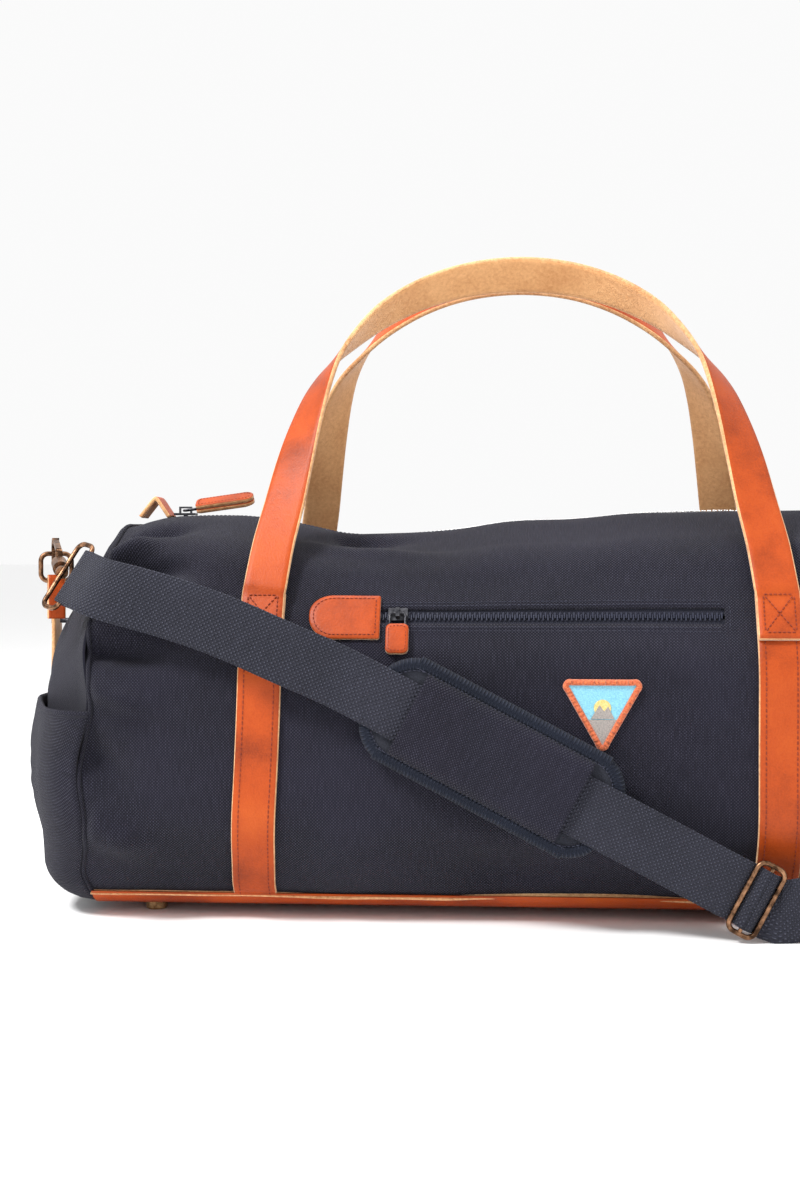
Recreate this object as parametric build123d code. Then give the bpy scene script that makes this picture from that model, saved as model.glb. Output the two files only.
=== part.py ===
from build123d import *
import os
from math import cos, radians, sin

# A weekender duffel bag: canvas body with leather trim, two carrying handles, two zips and a
# clip-on webbing shoulder strap with a sliding pad. Millimetres.
# +X runs along the bag, -Y is the front, +Z is up. The shapes are laid out about the bag's own
# middle plane and moved by SHIFT_Y when written, so that the origin is under the middle of the
# whole object, strap included.

# ---- driving dimensions ---------------------------------------------------------------------
BODY_HALF = 270.0        # middle to end seam
CANVAS = 2.5             # canvas with its lining
LEATHER = 3.0            # bands, base and handles
GROUND_GAP = 6.0         # underside of the leather base above the ground
CANVAS_Z = GROUND_GAP + LEATHER
SHIFT_Y = 10.8           # bag's middle plane to the middle of the whole object
SHIFT_X = -4.0
FAR = 400.0              # beyond the bag on every side, for cutting blocks
CUT = 10.0               # reach of a cut through one layer

# half of the body's cross-section, as corners (|y|, z) that are then rounded
SECTION = [(118, CANVAS_Z), (152, 62), (150, 165), (112, 238), (58, 259)]
SECTION_R = [34, 52, 60, 44, 70]
TOP_Z = SECTION[-1][1]

# ends: distance from the middle, and the section's scale there
PANEL_DOME = [(270, 0.985), (276, 0.88), (282, 0.77), (291, 0.65), (304, 0.53), (315, 0.38), (321, 0.22)]
PANEL_CENTRE_Z = 120.0
POCKET_DOME = [(270, 1.006), (298, 0.985), (318, 0.89), (331, 0.70), (337, 0.46)]
POCKET_CENTRE_Z = 80.0
POCKET_WALL = 2.0
POCKET_MOUTH_Z = 134.0
BINDING_H = 8.0
PIPING_W = 4.0
PIPING_H = 2.2

BASE_LIP_Z = 17.0        # top of the base leather's turned-up edge
BAND_X = 158.0
BAND_W = 27.0
BAND_TOP_Z = 205.0

FOOT_X = 235.0
FOOT_Y = 92.0
FOOT_R = 7.0
FOOT_HOLE_R = 1.7
BOARD_X = 262.0
BOARD_Y = 98.0
BOARD_T = 3.0
WASHER_R = 6.0
WASHER_T = 1.2
FOOT_PLACES = [(x, y) for x in (-FOOT_X, FOOT_X) for y in (-FOOT_Y, FOOT_Y)]

# zips
MAIN_SLOT = 9.0          # half width of the gap between the top panels
MAIN_HALF = 258.0
MAIN_SLIDER_X = -233.0
FRONT_ZIP = (-92.0, 126.0)
FRONT_SLOT = 5.5
FRONT_SLIDER_X = -74.0

# handles
HANDLE_T = 3.2
HANDLE_W = 27.0
HINGE_Y = 134.0
HINGE_Z = 209.0

# shoulder strap
WEB_W = 38.0
WEB_T = 1.8
PAD_L = 166.0
PAD_W = 69.0
PAD_T = 7.0
SLEEVE_L = 113.0
SLEEVE_W = 52.0
WIRE = 3.2
LIFT_Y = -72.0           # the hooks turn about the top wires of the D-rings
LIFT_Z = 231.0
RING_X = 306.0

os.makedirs("parts", exist_ok=True)


def save(name, shape):
    """Write one node, moved from the bag's middle plane to the whole object's frame."""
    moved = Pos(SHIFT_X, SHIFT_Y, 0) * shape
    moved.label = name
    export_step(moved, f"parts/{name}.step")


def mirror_x(shape):
    return mirror(shape, about=Plane.YZ)


def mirror_y(shape):
    return mirror(shape, about=Plane.XZ)


def save_ends(name, left_shape):
    """Write a left-end piece and its mirror image at the right end."""
    save("left_" + name, left_shape)
    save("right_" + name, mirror_x(left_shape))


def section_face(scale_by=1.0, centre_z=0.0):
    """The body's rounded cross-section, in local (y, z), scaled about a point on the middle line."""
    half = [(y * scale_by, centre_z + (z - centre_z) * scale_by) for y, z in SECTION]
    radii = [r * scale_by for r in SECTION_R]
    corners = half + [(-y, z) for y, z in reversed(half)]
    return make_face(FilletPolyline(*corners, radius=radii + radii[::-1], close=True))


def section_at(x, scale_by=1.0, centre_z=0.0, grow=0.0):
    face = section_face(scale_by, centre_z)
    if grow:
        face = offset(face, amount=grow)
    return Plane.YZ.offset(x) * face


def tube(x_low, x_high, outer, inner):
    """A length of the body's skin between two offsets from the canvas face."""
    length = x_high - x_low
    return extrude(section_at(x_low, grow=outer), length) - extrude(section_at(x_low, grow=inner), length)


def block(x_low, x_high, y_low, y_high, z_low, z_high):
    size = (x_high - x_low, y_high - y_low, z_high - z_low)
    centre = ((x_low + x_high) / 2, (y_low + y_high) / 2, (z_low + z_high) / 2)
    return Pos(*centre) * Box(*size)


def unit(v):
    return Vector(*v).normalized()


def ribbon(stations, width, thickness, lift=0.0):
    """A flat strap through stations of (centre point, width direction), with ruled faces between.

    A lift moves the strap off those points, along its own face."""
    faces = []
    count = len(stations)
    for i, (point, across) in enumerate(stations):
        before = Vector(*stations[max(i - 1, 0)][0])
        after = Vector(*stations[min(i + 1, count - 1)][0])
        along = (after - before).normalized()
        wide = unit(across)
        wide = (wide - along * wide.dot(along)).normalized()
        origin = Vector(*point) + along.cross(wide) * lift
        faces.append(Plane(origin=origin, x_dir=wide, z_dir=along) * Rectangle(width, thickness))
    return loft(faces, ruled=True)


def wire_loop(length, width, corner, wire):
    """A closed rounded-rectangle loop of round wire, lying in the local XY plane."""
    path = RectangleRounded(length, width, min(corner, width / 2 - 0.2)).wire()
    start = Plane(origin=path @ 0, z_dir=path % 0)
    return sweep(start * Circle(wire / 2), path=path)


# ---- body -----------------------------------------------------------------------------------
FACET_A = Vector(0, -SECTION[2][0], SECTION[2][1])
FACET_B = Vector(0, -SECTION[3][0], SECTION[3][1])
FACET_UP = (FACET_B - FACET_A).normalized()
FACET_OUT = Vector(0, -FACET_UP.Z, FACET_UP.Y)
FRONT_ZIP_Z = 193.0
FACET_O = FACET_A + FACET_UP * ((FRONT_ZIP_Z - FACET_A.Z) / FACET_UP.Z)
FACET = Plane(origin=FACET_O, x_dir=(1, 0, 0), z_dir=FACET_OUT)


def facet_block(x_low, x_high, v_low, v_high, w_low, w_high):
    """A box on the sloping upper front face: x along the bag, v up the slope, w outwards."""
    return FACET * block(x_low, x_high, v_low, v_high, w_low, w_high)


def body_panels():
    skin = tube(-BODY_HALF, BODY_HALF, 0, -CANVAS)
    floor_top = CANVAS_Z + CANVAS
    front = skin & block(-FAR, FAR, -FAR, -MAIN_SLOT, floor_top, FAR)
    back = skin & block(-FAR, FAR, MAIN_SLOT, FAR, floor_top, FAR)
    bridge = skin & block(-FAR, -MAIN_HALF, -MAIN_SLOT, MAIN_SLOT, PANEL_CENTRE_Z, FAR)
    x0, x1 = FRONT_ZIP
    slot = facet_block(x0, x1 - FRONT_SLOT, -FRONT_SLOT, FRONT_SLOT, -CUT, CUT)
    slot += FACET * Pos(x1 - FRONT_SLOT, 0, 0) * Cylinder(FRONT_SLOT, 2 * CUT)
    save("front_panel", front - slot)
    save("back_panel", back)
    save("top_bridges", Compound([bridge, mirror_x(bridge)]))
    floor = skin & block(-FAR, FAR, -FAR, FAR, 0, floor_top)
    for x, y in FOOT_PLACES:
        floor -= Pos(x, y, CANVAS_Z) * Cylinder(FOOT_HOLE_R, 2 * CUT)
    save("floor_panel", floor)


def dome(stages, centre_z, grow):
    """A bulging end, as ruled slices of the section from the seam to the cap."""
    faces = []
    for x, k in stages:
        faces.append(section_at(-x, k + grow / SECTION[1][0], centre_z))
    return loft(faces, ruled=True)


def shifted(stages, dx):
    return [(x + (dx if i else 0), k) for i, (x, k) in enumerate(stages)]


def end_pieces():
    panel_outer = dome(PANEL_DOME, PANEL_CENTRE_Z, 0)
    panel_inner = dome(shifted(PANEL_DOME, -CANVAS), PANEL_CENTRE_Z, -CANVAS)
    save_ends("end_panel", panel_outer - panel_inner)
    pocket_outer = dome(POCKET_DOME, POCKET_CENTRE_Z, 0)
    pocket_inner = dome(shifted(POCKET_DOME, -POCKET_WALL), POCKET_CENTRE_Z, -POCKET_WALL)
    shell = pocket_outer - pocket_inner
    below = block(-FAR, 0, -FAR, FAR, -FAR, POCKET_MOUTH_Z - BINDING_H)
    save_ends("end_pocket", shell & below)
    bound_outer = dome(shifted(POCKET_DOME, 1), POCKET_CENTRE_Z, 1)
    bound_inner = dome(shifted(POCKET_DOME, -POCKET_WALL - 1), POCKET_CENTRE_Z, -POCKET_WALL - 0.6)
    mouth = block(-FAR, -BODY_HALF, -FAR, FAR, POCKET_MOUTH_Z - BINDING_H, POCKET_MOUTH_Z)
    save_ends("pocket_binding", (bound_outer - bound_inner) & mouth)
    piping = tube(-BODY_HALF, -BODY_HALF + PIPING_W, PIPING_H, 0) & block(-FAR, 0, -FAR, FAR, BASE_LIP_Z, FAR)
    save_ends("end_piping", piping)
    return panel_outer


def base_pieces():
    tray = tube(-BODY_HALF, BODY_HALF, LEATHER, 0) & block(-FAR, FAR, -FAR, FAR, 0, BASE_LIP_Z)
    board_z = CANVAS_Z + CANVAS
    board = block(-BOARD_X, BOARD_X, -BOARD_Y, BOARD_Y, board_z, board_z + BOARD_T)
    stem_top = board_z + BOARD_T + 2
    washers = []
    feet = []
    for x, y in FOOT_PLACES:
        hole = Pos(x, y, CANVAS_Z) * Cylinder(FOOT_HOLE_R, 4 * CUT)
        board -= hole
        tray -= hole
        head = Pos(x, y, GROUND_GAP / 2) * Cylinder(FOOT_R, GROUND_GAP)
        head = fillet(head.edges().group_by(Axis.Z)[0], 1.2)
        stem = Pos(x, y, (GROUND_GAP + stem_top) / 2) * Cylinder(FOOT_HOLE_R - 0.1, stem_top - GROUND_GAP)
        feet.append(head + stem)
        washer = Cylinder(WASHER_R, WASHER_T) - Cylinder(FOOT_HOLE_R, 2 * WASHER_T)
        washers.append(Pos(x, y, board_z + BOARD_T + WASHER_T / 2) * washer)
    save("base_leather", tray)
    save("base_board", board)
    save("base_feet", Compound(feet))
    save("foot_washers", Compound(washers))


def bands():
    for side, sign in (("left", -1), ("right", 1)):
        x = sign * BAND_X
        wrap = tube(x - BAND_W / 2, x + BAND_W / 2, LEATHER, 0)
        front = wrap & block(-FAR, FAR, -FAR, 0, BASE_LIP_Z, BAND_TOP_Z)
        save(f"front_{side}_band", front)
        save(f"back_{side}_band", mirror_y(front))


# ---- handles --------------------------------------------------------------------------------
LEAN = radians(29.5)
# half of the front handle from the hinge to the middle: distance along the bag, height up the
# leaning plane, and the turn of the strap's face, from facing the front to facing up and back
HANDLE_HALF = [(-157, 3, 0), (-154, 32, 4), (-149, 62, 10), (-144, 95, 20), (-139, 122, 32),
               (-132, 150, 46), (-123, 172, 62), (-109, 192, 78), (-90, 212, 92), (-64, 229, 101),
               (-34, 240, 107), (0, 244, 110)]


def handle():
    """A leather strap that faces the front at its feet and twists to lie over at the top."""
    plane_up = Vector(0, sin(LEAN), cos(LEAN))
    plane_out = Vector(0, -cos(LEAN), sin(LEAN))
    origin = Vector(0, -HINGE_Y, HINGE_Z)
    route = HANDLE_HALF + [(-x, up, turn) for x, up, turn in reversed(HANDLE_HALF[:-1])]
    points = [origin + Vector(1, 0, 0) * x + plane_up * up for x, up, turn in route]
    faces = []
    last = len(route) - 1
    for i, (_, _, turn) in enumerate(route):
        along = (points[min(i + 1, last)] - points[max(i - 1, 0)]).normalized()
        sideways = plane_out.cross(along).normalized()
        angle = radians(turn)
        face_out = plane_out * cos(angle) + sideways * sin(angle)
        across = face_out.cross(along).normalized()
        faces.append(Plane(origin=points[i], x_dir=across, z_dir=along) * Rectangle(HANDLE_W, HANDLE_T))
    return loft(faces, ruled=True)


# ---- zips -----------------------------------------------------------------------------------
PLATE = 1.4              # thickness of a slider's plates


def tooth_row(x_low, x_high, pitch, inner, outer, thickness, side):
    """One row of zip teeth on a cord; the teeth point at the middle line."""
    row = Pos((x_low + x_high) / 2, side * (outer - 0.5), 0) * Box(x_high - x_low, 1.0, thickness)
    shift = 0 if side > 0 else pitch / 2
    count = int((x_high - x_low) / pitch) - 1
    width = outer - 0.9 - inner
    teeth = [Pos(x_low + pitch * (i + 0.5) + shift, side * (inner + width / 2), 0)
             * Box(pitch * 0.55, width, thickness) for i in range(count)]
    return row + teeth


def zip_slider(length, width, gap, bridge_l, bridge_h, bridge_turn):
    """Two plates either side of the teeth, joined by a thin blade, with a bridge for the pull."""
    top = Pos(0, 0, gap + PLATE / 2) * Box(length, width, PLATE)
    bottom = Pos(0, 0, -gap - PLATE / 2) * Box(length, width, PLATE)
    blade = Box(3, 0.7, 2 * gap + 0.4)
    post = 1.2
    arch = Pos(0, 0, gap + PLATE + bridge_h / 2) * Box(bridge_l, 2 * post, bridge_h)
    arch -= Pos(0, 0, gap + PLATE + (bridge_h - post) / 2) * Box(bridge_l - 2 * post, 4, bridge_h - post)
    return top + bottom + blade + Rot(0, 0, bridge_turn) * arch


MAIN_ZIP_Z = TOP_Z - 2.6
MAIN_GAP = 1.7
MAIN_BRIDGE = 4.6
MAIN_PULL_Z = MAIN_ZIP_Z + MAIN_GAP + PLATE + 1.9
FRONT_ZIP_W = -1.6
FRONT_GAP = 1.5
FRONT_BRIDGE = 3.8
FRONT_PULL_W = FRONT_ZIP_W + FRONT_GAP + PLATE + 1.4
PULL_TILT = 8.0          # the main pull rises a little away from its slider


def main_zip():
    tape_z = TOP_Z - CANVAS - 0.9
    for side, name in ((-1, "front"), (1, "back")):
        tape = Pos(0, side * 10.1, tape_z) * Box(2 * MAIN_HALF - 4, 13.8, 0.8)
        save(f"main_zip_tape_{name}", tape)
    rows = [tooth_row(-MAIN_HALF + 4, MAIN_HALF - 4, 5.0, 0.6, 3.1, 1.9, side) for side in (-1, 1)]
    save("main_zip_teeth", Pos(0, 0, MAIN_ZIP_Z) * Compound(rows))
    save("main_zip_slider", Pos(MAIN_SLIDER_X, 0, MAIN_ZIP_Z) * zip_slider(15, 11, MAIN_GAP, 9, MAIN_BRIDGE, 0))
    ring = Rot(0, -PULL_TILT, 0) * Pos(4.5, 0, 0) * wire_loop(11, 8, 2.4, 1.6)
    pull_body = Pos(28, 0, 0.6) * Box(38, 12, 6.4)
    pull_body = fillet(pull_body.edges().filter_by(Axis.Z), 4)
    pull_body = Rot(0, -PULL_TILT, 0) * (pull_body - Pos(9.4, 0, 0) * Box(6.4, 14, 2.4))
    place = Pos(MAIN_SLIDER_X, 0, MAIN_PULL_Z)
    save("main_zip_pull_ring", place * ring)
    save("main_zip_pull", place * pull_body)
    fold = Polyline((-262, TOP_Z + 0.3), (-252, TOP_Z + 11), (-243, TOP_Z + 0.3), close=True)
    inside = Polyline((-258, TOP_Z + 0.3), (-252, TOP_Z + 6.8), (-246.6, TOP_Z + 0.3), close=True)
    stop = extrude(Plane.XZ * make_face(fold), 11, both=True)
    stop -= extrude(Plane.XZ * make_face(inside), 12, both=True)
    save_ends("main_zip_end_tab", stop)


def front_zip():
    x0, x1 = FRONT_ZIP
    upper = facet_block(x0 + 0.5, x1 - 5, 2.8, FRONT_SLOT - 0.1, -2.0, -1.2)
    lower = facet_block(x0 + 0.5, x1 - 5, 0.1 - FRONT_SLOT, -2.8, -2.0, -1.2)
    save("front_zip_tapes", Compound([upper, lower]))
    rows = [tooth_row(x0 + 3, x1 - 5, 3.4, 0.6, 2.7, 1.5, side) for side in (-1, 1)]
    save("front_zip_teeth", FACET * Pos(0, 0, FRONT_ZIP_W) * Compound(rows))
    place = FACET * Pos(FRONT_SLIDER_X, 0, FRONT_ZIP_W)
    save("front_zip_slider", place * zip_slider(12, 8.5, FRONT_GAP, 6, FRONT_BRIDGE, 90))
    hang = FACET * Pos(FRONT_SLIDER_X, 0, FRONT_PULL_W)
    save("front_zip_pull_ring", hang * Pos(0, -5.5, 0) * Rot(0, 0, 90) * wire_loop(11, 9.6, 2.4, 1.5))
    leather = Pos(0, -17.5, 0) * Box(14, 20, 3.2)
    leather = fillet(leather.edges().filter_by(Axis.Z), 3.5)
    leather -= Pos(0, -9.7, 0) * Box(16, 5.2, 2.1)
    save("front_zip_pull", hang * leather)
    tab = Pos(-107, -1, 1.5) * Box(44, 33, 2.8)
    rounded = tab.edges().filter_by(Axis.Z).group_by(Axis.X)[0]
    save("front_zip_end_tab", FACET * fillet(rounded, 15.5))
    bag = block(-100, 130, -142, -139.5, 95, 158)
    save("front_pocket_lining", bag)


# ---- end trim -------------------------------------------------------------------------------
def end_trim(panel_outer):
    points = [(-324.2, 100), (-324.2, 150), (-323, 172), (-322.5, 191), (-326, 191), (-326.5, 172),
              (-327.4, 150), (-327.4, 100)]
    strip = extrude(Plane.XZ * make_face(Polyline(*points, close=True)), 9, both=True)
    save_ends("end_strip", strip)
    rivet = Pos(-327.2, 0, 184) * Rot(0, 90, 0) * Cylinder(4.5, 2)
    post = Pos(-318.5, 0, 184) * Rot(0, 90, 0) * Cylinder(1.8, 16)
    save_ends("strip_rivet", ((rivet + post) - panel_outer) - strip)


# ---- D-rings and the shoulder strap -----------------------------------------------------------
RING_BAR_Z = 213.0
RING_TURN = 20.0         # how far the rings are turned from facing the front
RING_TAB_T = 2.4
RING_TAB_W = 11.0
RING_TAB_L = 28.0


def ring_place():
    c, s = cos(radians(RING_TURN)), sin(radians(RING_TURN))
    return Plane(origin=(-RING_X, LIFT_Y, RING_BAR_Z), x_dir=(c, s, 0), z_dir=(s, -c, 0))


def d_rings(panel_outer):
    height = LIFT_Z - RING_BAR_Z
    ring = ring_place() * Pos(0, height / 2, 0) * wire_loop(20, height, 5, WIRE)
    save_ends("d_ring", ring)
    outer = WIRE / 2 + RING_TAB_T
    loop = Cylinder(outer, RING_TAB_W) + Pos(0, -RING_TAB_L / 2, 0) * Box(2 * outer, RING_TAB_L, RING_TAB_W)
    loop -= Cylinder(WIRE / 2 + 0.3, RING_TAB_W + 1)
    tab = ring_place() * Rot(0, 90, 0) * loop
    save_ends("d_ring_tab", tab - panel_outer)


def hook_frame(origin, along, flat):
    """A frame with x out along the hook, y across its lobe and z square to the lobe."""
    x_dir = unit(along)
    normal = unit(flat)
    normal = (normal - x_dir * normal.dot(x_dir)).normalized()
    return Plane(origin=origin, x_dir=x_dir, z_dir=normal)


LOBE_START = 24.0
LOBE_END = 62.0
LOBE_W = 19.0
LOBE_WIRE = 4.0
LOBE_T = 4.4
GATE_X = 29.0


def hook_parts():
    """A swivel snap hook in its own frame: body with a gap for the gate, and the gate."""
    length = LOBE_END - LOBE_START
    middle = (LOBE_START + LOBE_END) / 2
    inside = SlotOverall(length - 2 * LOBE_WIRE, LOBE_W - 2 * LOBE_WIRE)
    lobe = Pos(middle, 0, 0) * extrude(SlotOverall(length, LOBE_W) - inside, LOBE_T / 2, both=True)
    collar = Pos(19, 0, 0) * Rot(0, 90, 0) * Cylinder(5, 14)
    collar -= Pos(16, 0, 0) * Rot(0, 90, 0) * Cylinder(2.9, 12)
    gap = Pos(GATE_X + 12, LOBE_W / 2 - LOBE_WIRE / 2, 0) * Box(24, LOBE_WIRE + 2, 6)
    gate = Pos(GATE_X + 12, LOBE_W / 2 - LOBE_WIRE / 2, 0) * Box(23, 3.0, 3.6)
    return lobe + collar - gap, gate


def strap_loop(place, loop_place):
    """The hook's swivel post and the rectangular loop that the webbing goes through."""
    post = place * (Pos(12, 0, 0) * Rot(0, 90, 0) * Cylinder(2.5, 17))
    post += place * (Pos(4, 0, 0) * Rot(0, 90, 0) * Cylinder(4, 3))
    return post + loop_place * wire_loop(WEB_W + 9, 15, 5, WIRE)


LEFT_SWIVEL = (-290, -116, 218)
LEFT_HOOK = (-0.329, 0.905, 0.267)
LEFT_FLAT = (0.94, 0.34, 0)
LEFT_WEB = (0.75, -0.63, -0.18)
LEFT_WIDE = (0.46, 0.33, 0.86)
RIGHT_HOOK = (0.25, 0.76, 0.6)
RIGHT_FLAT = (-0.94, 0.34, 0)
RIGHT_WEB = (0.38, -0.5, -0.78)
RIGHT_WIDE = (-0.72, -0.66, 0.1)
RIGHT_REACH = LOBE_END - LOBE_WIRE - WIRE / 2 - 2.4
RIGHT_SWIVEL = tuple(Vector(RING_X, LIFT_Y, LIFT_Z) - unit(RIGHT_HOOK) * RIGHT_REACH)


def loop_frame(swivel, web, wide):
    """The rectangular loop's frame: x along the webbing's width, y along its run."""
    run = unit(web)
    across = unit(wide)
    across = (across - run * across.dot(run)).normalized()
    centre = Vector(*swivel) + run * 6.5
    return Plane(origin=centre, x_dir=across, z_dir=across.cross(run)), centre + run * 7.5


ADJUSTER = Vector(141, -171, 26)
STRAIGHT = Vector(-105, -165, 155)


def hooks_and_webbing():
    left = hook_frame(LEFT_SWIVEL, LEFT_HOOK, LEFT_FLAT)
    right = hook_frame(RIGHT_SWIVEL, RIGHT_HOOK, RIGHT_FLAT)
    left_loop, left_start = loop_frame(LEFT_SWIVEL, LEFT_WEB, LEFT_WIDE)
    right_loop, right_start = loop_frame(RIGHT_SWIVEL, RIGHT_WEB, RIGHT_WIDE)
    for side, place, loop in (("left", left, left_loop), ("right", right, right_loop)):
        body, gate = hook_parts()
        save(f"{side}_hook_body", place * body)
        save(f"{side}_hook_gate", place * gate)
        save(f"{side}_hook_swivel", strap_loop(place, loop))
    along = (ADJUSTER - STRAIGHT).normalized()
    across = Vector(0, -1, 0).cross(along).normalized()
    clear = WIRE / 2 + WEB_T / 2 + 0.2
    lead = left_start + unit(LEFT_WEB) * (clear + 0.6)
    out = along.cross(across)
    weave = 3.0           # how far the webbing passes over and under the adjuster's wires
    front = [(tuple(lead), LEFT_WIDE), ((-256, -153.4, 209.5), (0.42, 0.2, 0.88)),
             ((-215, -157, 198.5), (0.40, 0.05, 0.91)), ((-180, -161, 187), (0.39, 0, 0.92)),
             ((-142, -164, 171), (0.42, 0, 0.9)), (tuple(STRAIGHT), tuple(across)),
             (tuple(ADJUSTER - along * 20), tuple(across)),
             (tuple(ADJUSTER - along * 8.5 - out * weave), tuple(across)),
             (tuple(ADJUSTER + out * weave), tuple(across))]
    save("shoulder_webbing", ribbon(front, WEB_W, WEB_T))
    save("webbing_turnback", ribbon(front[:4], WEB_W, WEB_T, lift=-1.85))
    tail_end = right_start + unit(RIGHT_WEB) * (clear + 1.8)
    tail = [(tuple(ADJUSTER + along * 1.2 + out * (weave - 0.5)), tuple(across)),
            (tuple(ADJUSTER + along * 8.0 - out * (weave + 0.3)), tuple(across)),
            (tuple(ADJUSTER + along * 14 - out * 2.4), tuple(across)),
            ((180, -168, 20.6), (0.15, 0, 1)),
            ((207, -170, 20.4), (0, 0, 1)), ((250, -171, 22), (-0.25, -0.05, 0.97)),
            ((291, -168, 36), (-0.6, -0.2, 0.77)), ((319, -159, 68), (-0.75, -0.5, 0.43)),
            ((331, -149, 106), (-0.75, -0.66, 0.05)), ((320, -137, 146), (-0.72, -0.66, -0.1)),
            (tuple(tail_end), RIGHT_WIDE)]
    save("webbing_tail", ribbon(tail, WEB_W, WEB_T))
    slide = Plane(origin=ADJUSTER, x_dir=across, z_dir=across.cross(along))
    adjuster = slide * wire_loop(WEB_W + 7, 17, 5, WIRE)
    bar = slide * Rot(0, 90, 0) * Cylinder(1.3, WEB_W + 6)
    save("strap_adjuster", adjuster + bar)
    return along, across


def shoulder_pad(along, across):
    """Foam pad behind the webbing, bound at its edge, with a canvas sleeve round the webbing."""
    middle = STRAIGHT + along * (89 / along.X)
    place = Plane(origin=middle, x_dir=along, z_dir=Vector(0, -1, 0) - along * Vector(0, -1, 0).dot(along))
    gap = WEB_T / 2 + 0.5
    outline = RectangleRounded(PAD_L - 14, PAD_W - 14, 20)
    pad = Pos(0, 0, -gap - PAD_T) * extrude(outline, PAD_T)
    rim = RectangleRounded(PAD_L, PAD_W, 27) - RectangleRounded(PAD_L - 14, PAD_W - 14, 20)
    binding = Pos(0, 0, -gap - PAD_T + 0.5) * extrude(rim, PAD_T - 1)
    outer = Pos(0, 0, 0.4) * Box(SLEEVE_L, SLEEVE_W, 2 * gap + 2.2)
    sleeve = outer - Pos(0, 0, -0.3) * Box(SLEEVE_L + 2, WEB_W + 3, 2 * gap + 0.6)
    sleeve &= Pos(0, 0, 10 - gap) * Box(SLEEVE_L + 4, SLEEVE_W + 4, 20)
    save("shoulder_pad", place * pad)
    save("pad_binding", place * binding)
    save("pad_sleeve", place * sleeve)


def patch():
    """A triangular sewn badge, point down, with a raised border."""
    outer = make_face(Polyline((26, 154), (76, 154), (51, 110), close=True))
    inner = make_face(Polyline((31, 151), (71, 151), (51, 116), close=True))
    y_face = -SECTION[1][0] - 0.6
    place = Plane(origin=(0, y_face, 0), x_dir=(1, 0, 0), z_dir=(0, -1, 0))
    save("patch_border", place * extrude(outer - inner, 1.6))
    save("patch_field", place * extrude(inner, 1.0))


body_panels()
dome_outer = end_pieces()
base_pieces()
bands()
save("front_handle", handle())
save("back_handle", mirror_y(handle()))
main_zip()
front_zip()
end_trim(dome_outer)
d_rings(dome_outer)
run, wide = hooks_and_webbing()
shoulder_pad(run, wide)
patch()
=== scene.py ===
import math

import bpy
import numpy as np
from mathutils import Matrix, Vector


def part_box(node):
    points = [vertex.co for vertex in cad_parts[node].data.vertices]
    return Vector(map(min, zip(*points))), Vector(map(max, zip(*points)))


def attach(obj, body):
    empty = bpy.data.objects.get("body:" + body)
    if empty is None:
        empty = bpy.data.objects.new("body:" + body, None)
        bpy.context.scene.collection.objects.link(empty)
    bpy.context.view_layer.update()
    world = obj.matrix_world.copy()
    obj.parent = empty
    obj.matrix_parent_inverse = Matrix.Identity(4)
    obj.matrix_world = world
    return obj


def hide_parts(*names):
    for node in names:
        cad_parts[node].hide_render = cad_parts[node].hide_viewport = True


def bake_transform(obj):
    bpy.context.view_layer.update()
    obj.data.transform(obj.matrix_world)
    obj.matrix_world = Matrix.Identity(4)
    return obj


# The looks of a canvas and leather duffel bag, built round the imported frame. Everything below is
# laid out in millimetres about the bag's own middle plane, and at() turns that into the frame's
# metres; the middle plane is read from the canvas panels.

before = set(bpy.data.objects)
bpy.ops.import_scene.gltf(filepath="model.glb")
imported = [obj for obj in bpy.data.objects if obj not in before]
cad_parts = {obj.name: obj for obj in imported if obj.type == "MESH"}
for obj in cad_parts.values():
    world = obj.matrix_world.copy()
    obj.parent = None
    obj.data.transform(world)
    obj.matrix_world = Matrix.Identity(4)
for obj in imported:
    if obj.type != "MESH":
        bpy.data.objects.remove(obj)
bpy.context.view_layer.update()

FRONT_LO, FRONT_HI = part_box("front_panel")
_, BACK_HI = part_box("back_panel")
MID_X = (FRONT_LO[0] + FRONT_HI[0]) / 2
MID_Y = (FRONT_LO[1] + BACK_HI[1]) / 2
MM = 0.001
SIDES = ((-1, "front"), (1, "back"))
ENDS = ((-1, "left"), (1, "right"))


def at(points):
    """Millimetres about the bag's middle plane to metres in the frame."""
    p = np.asarray(points, float) * MM
    p[..., 0] += MID_X
    p[..., 1] += MID_Y
    return p


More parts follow.
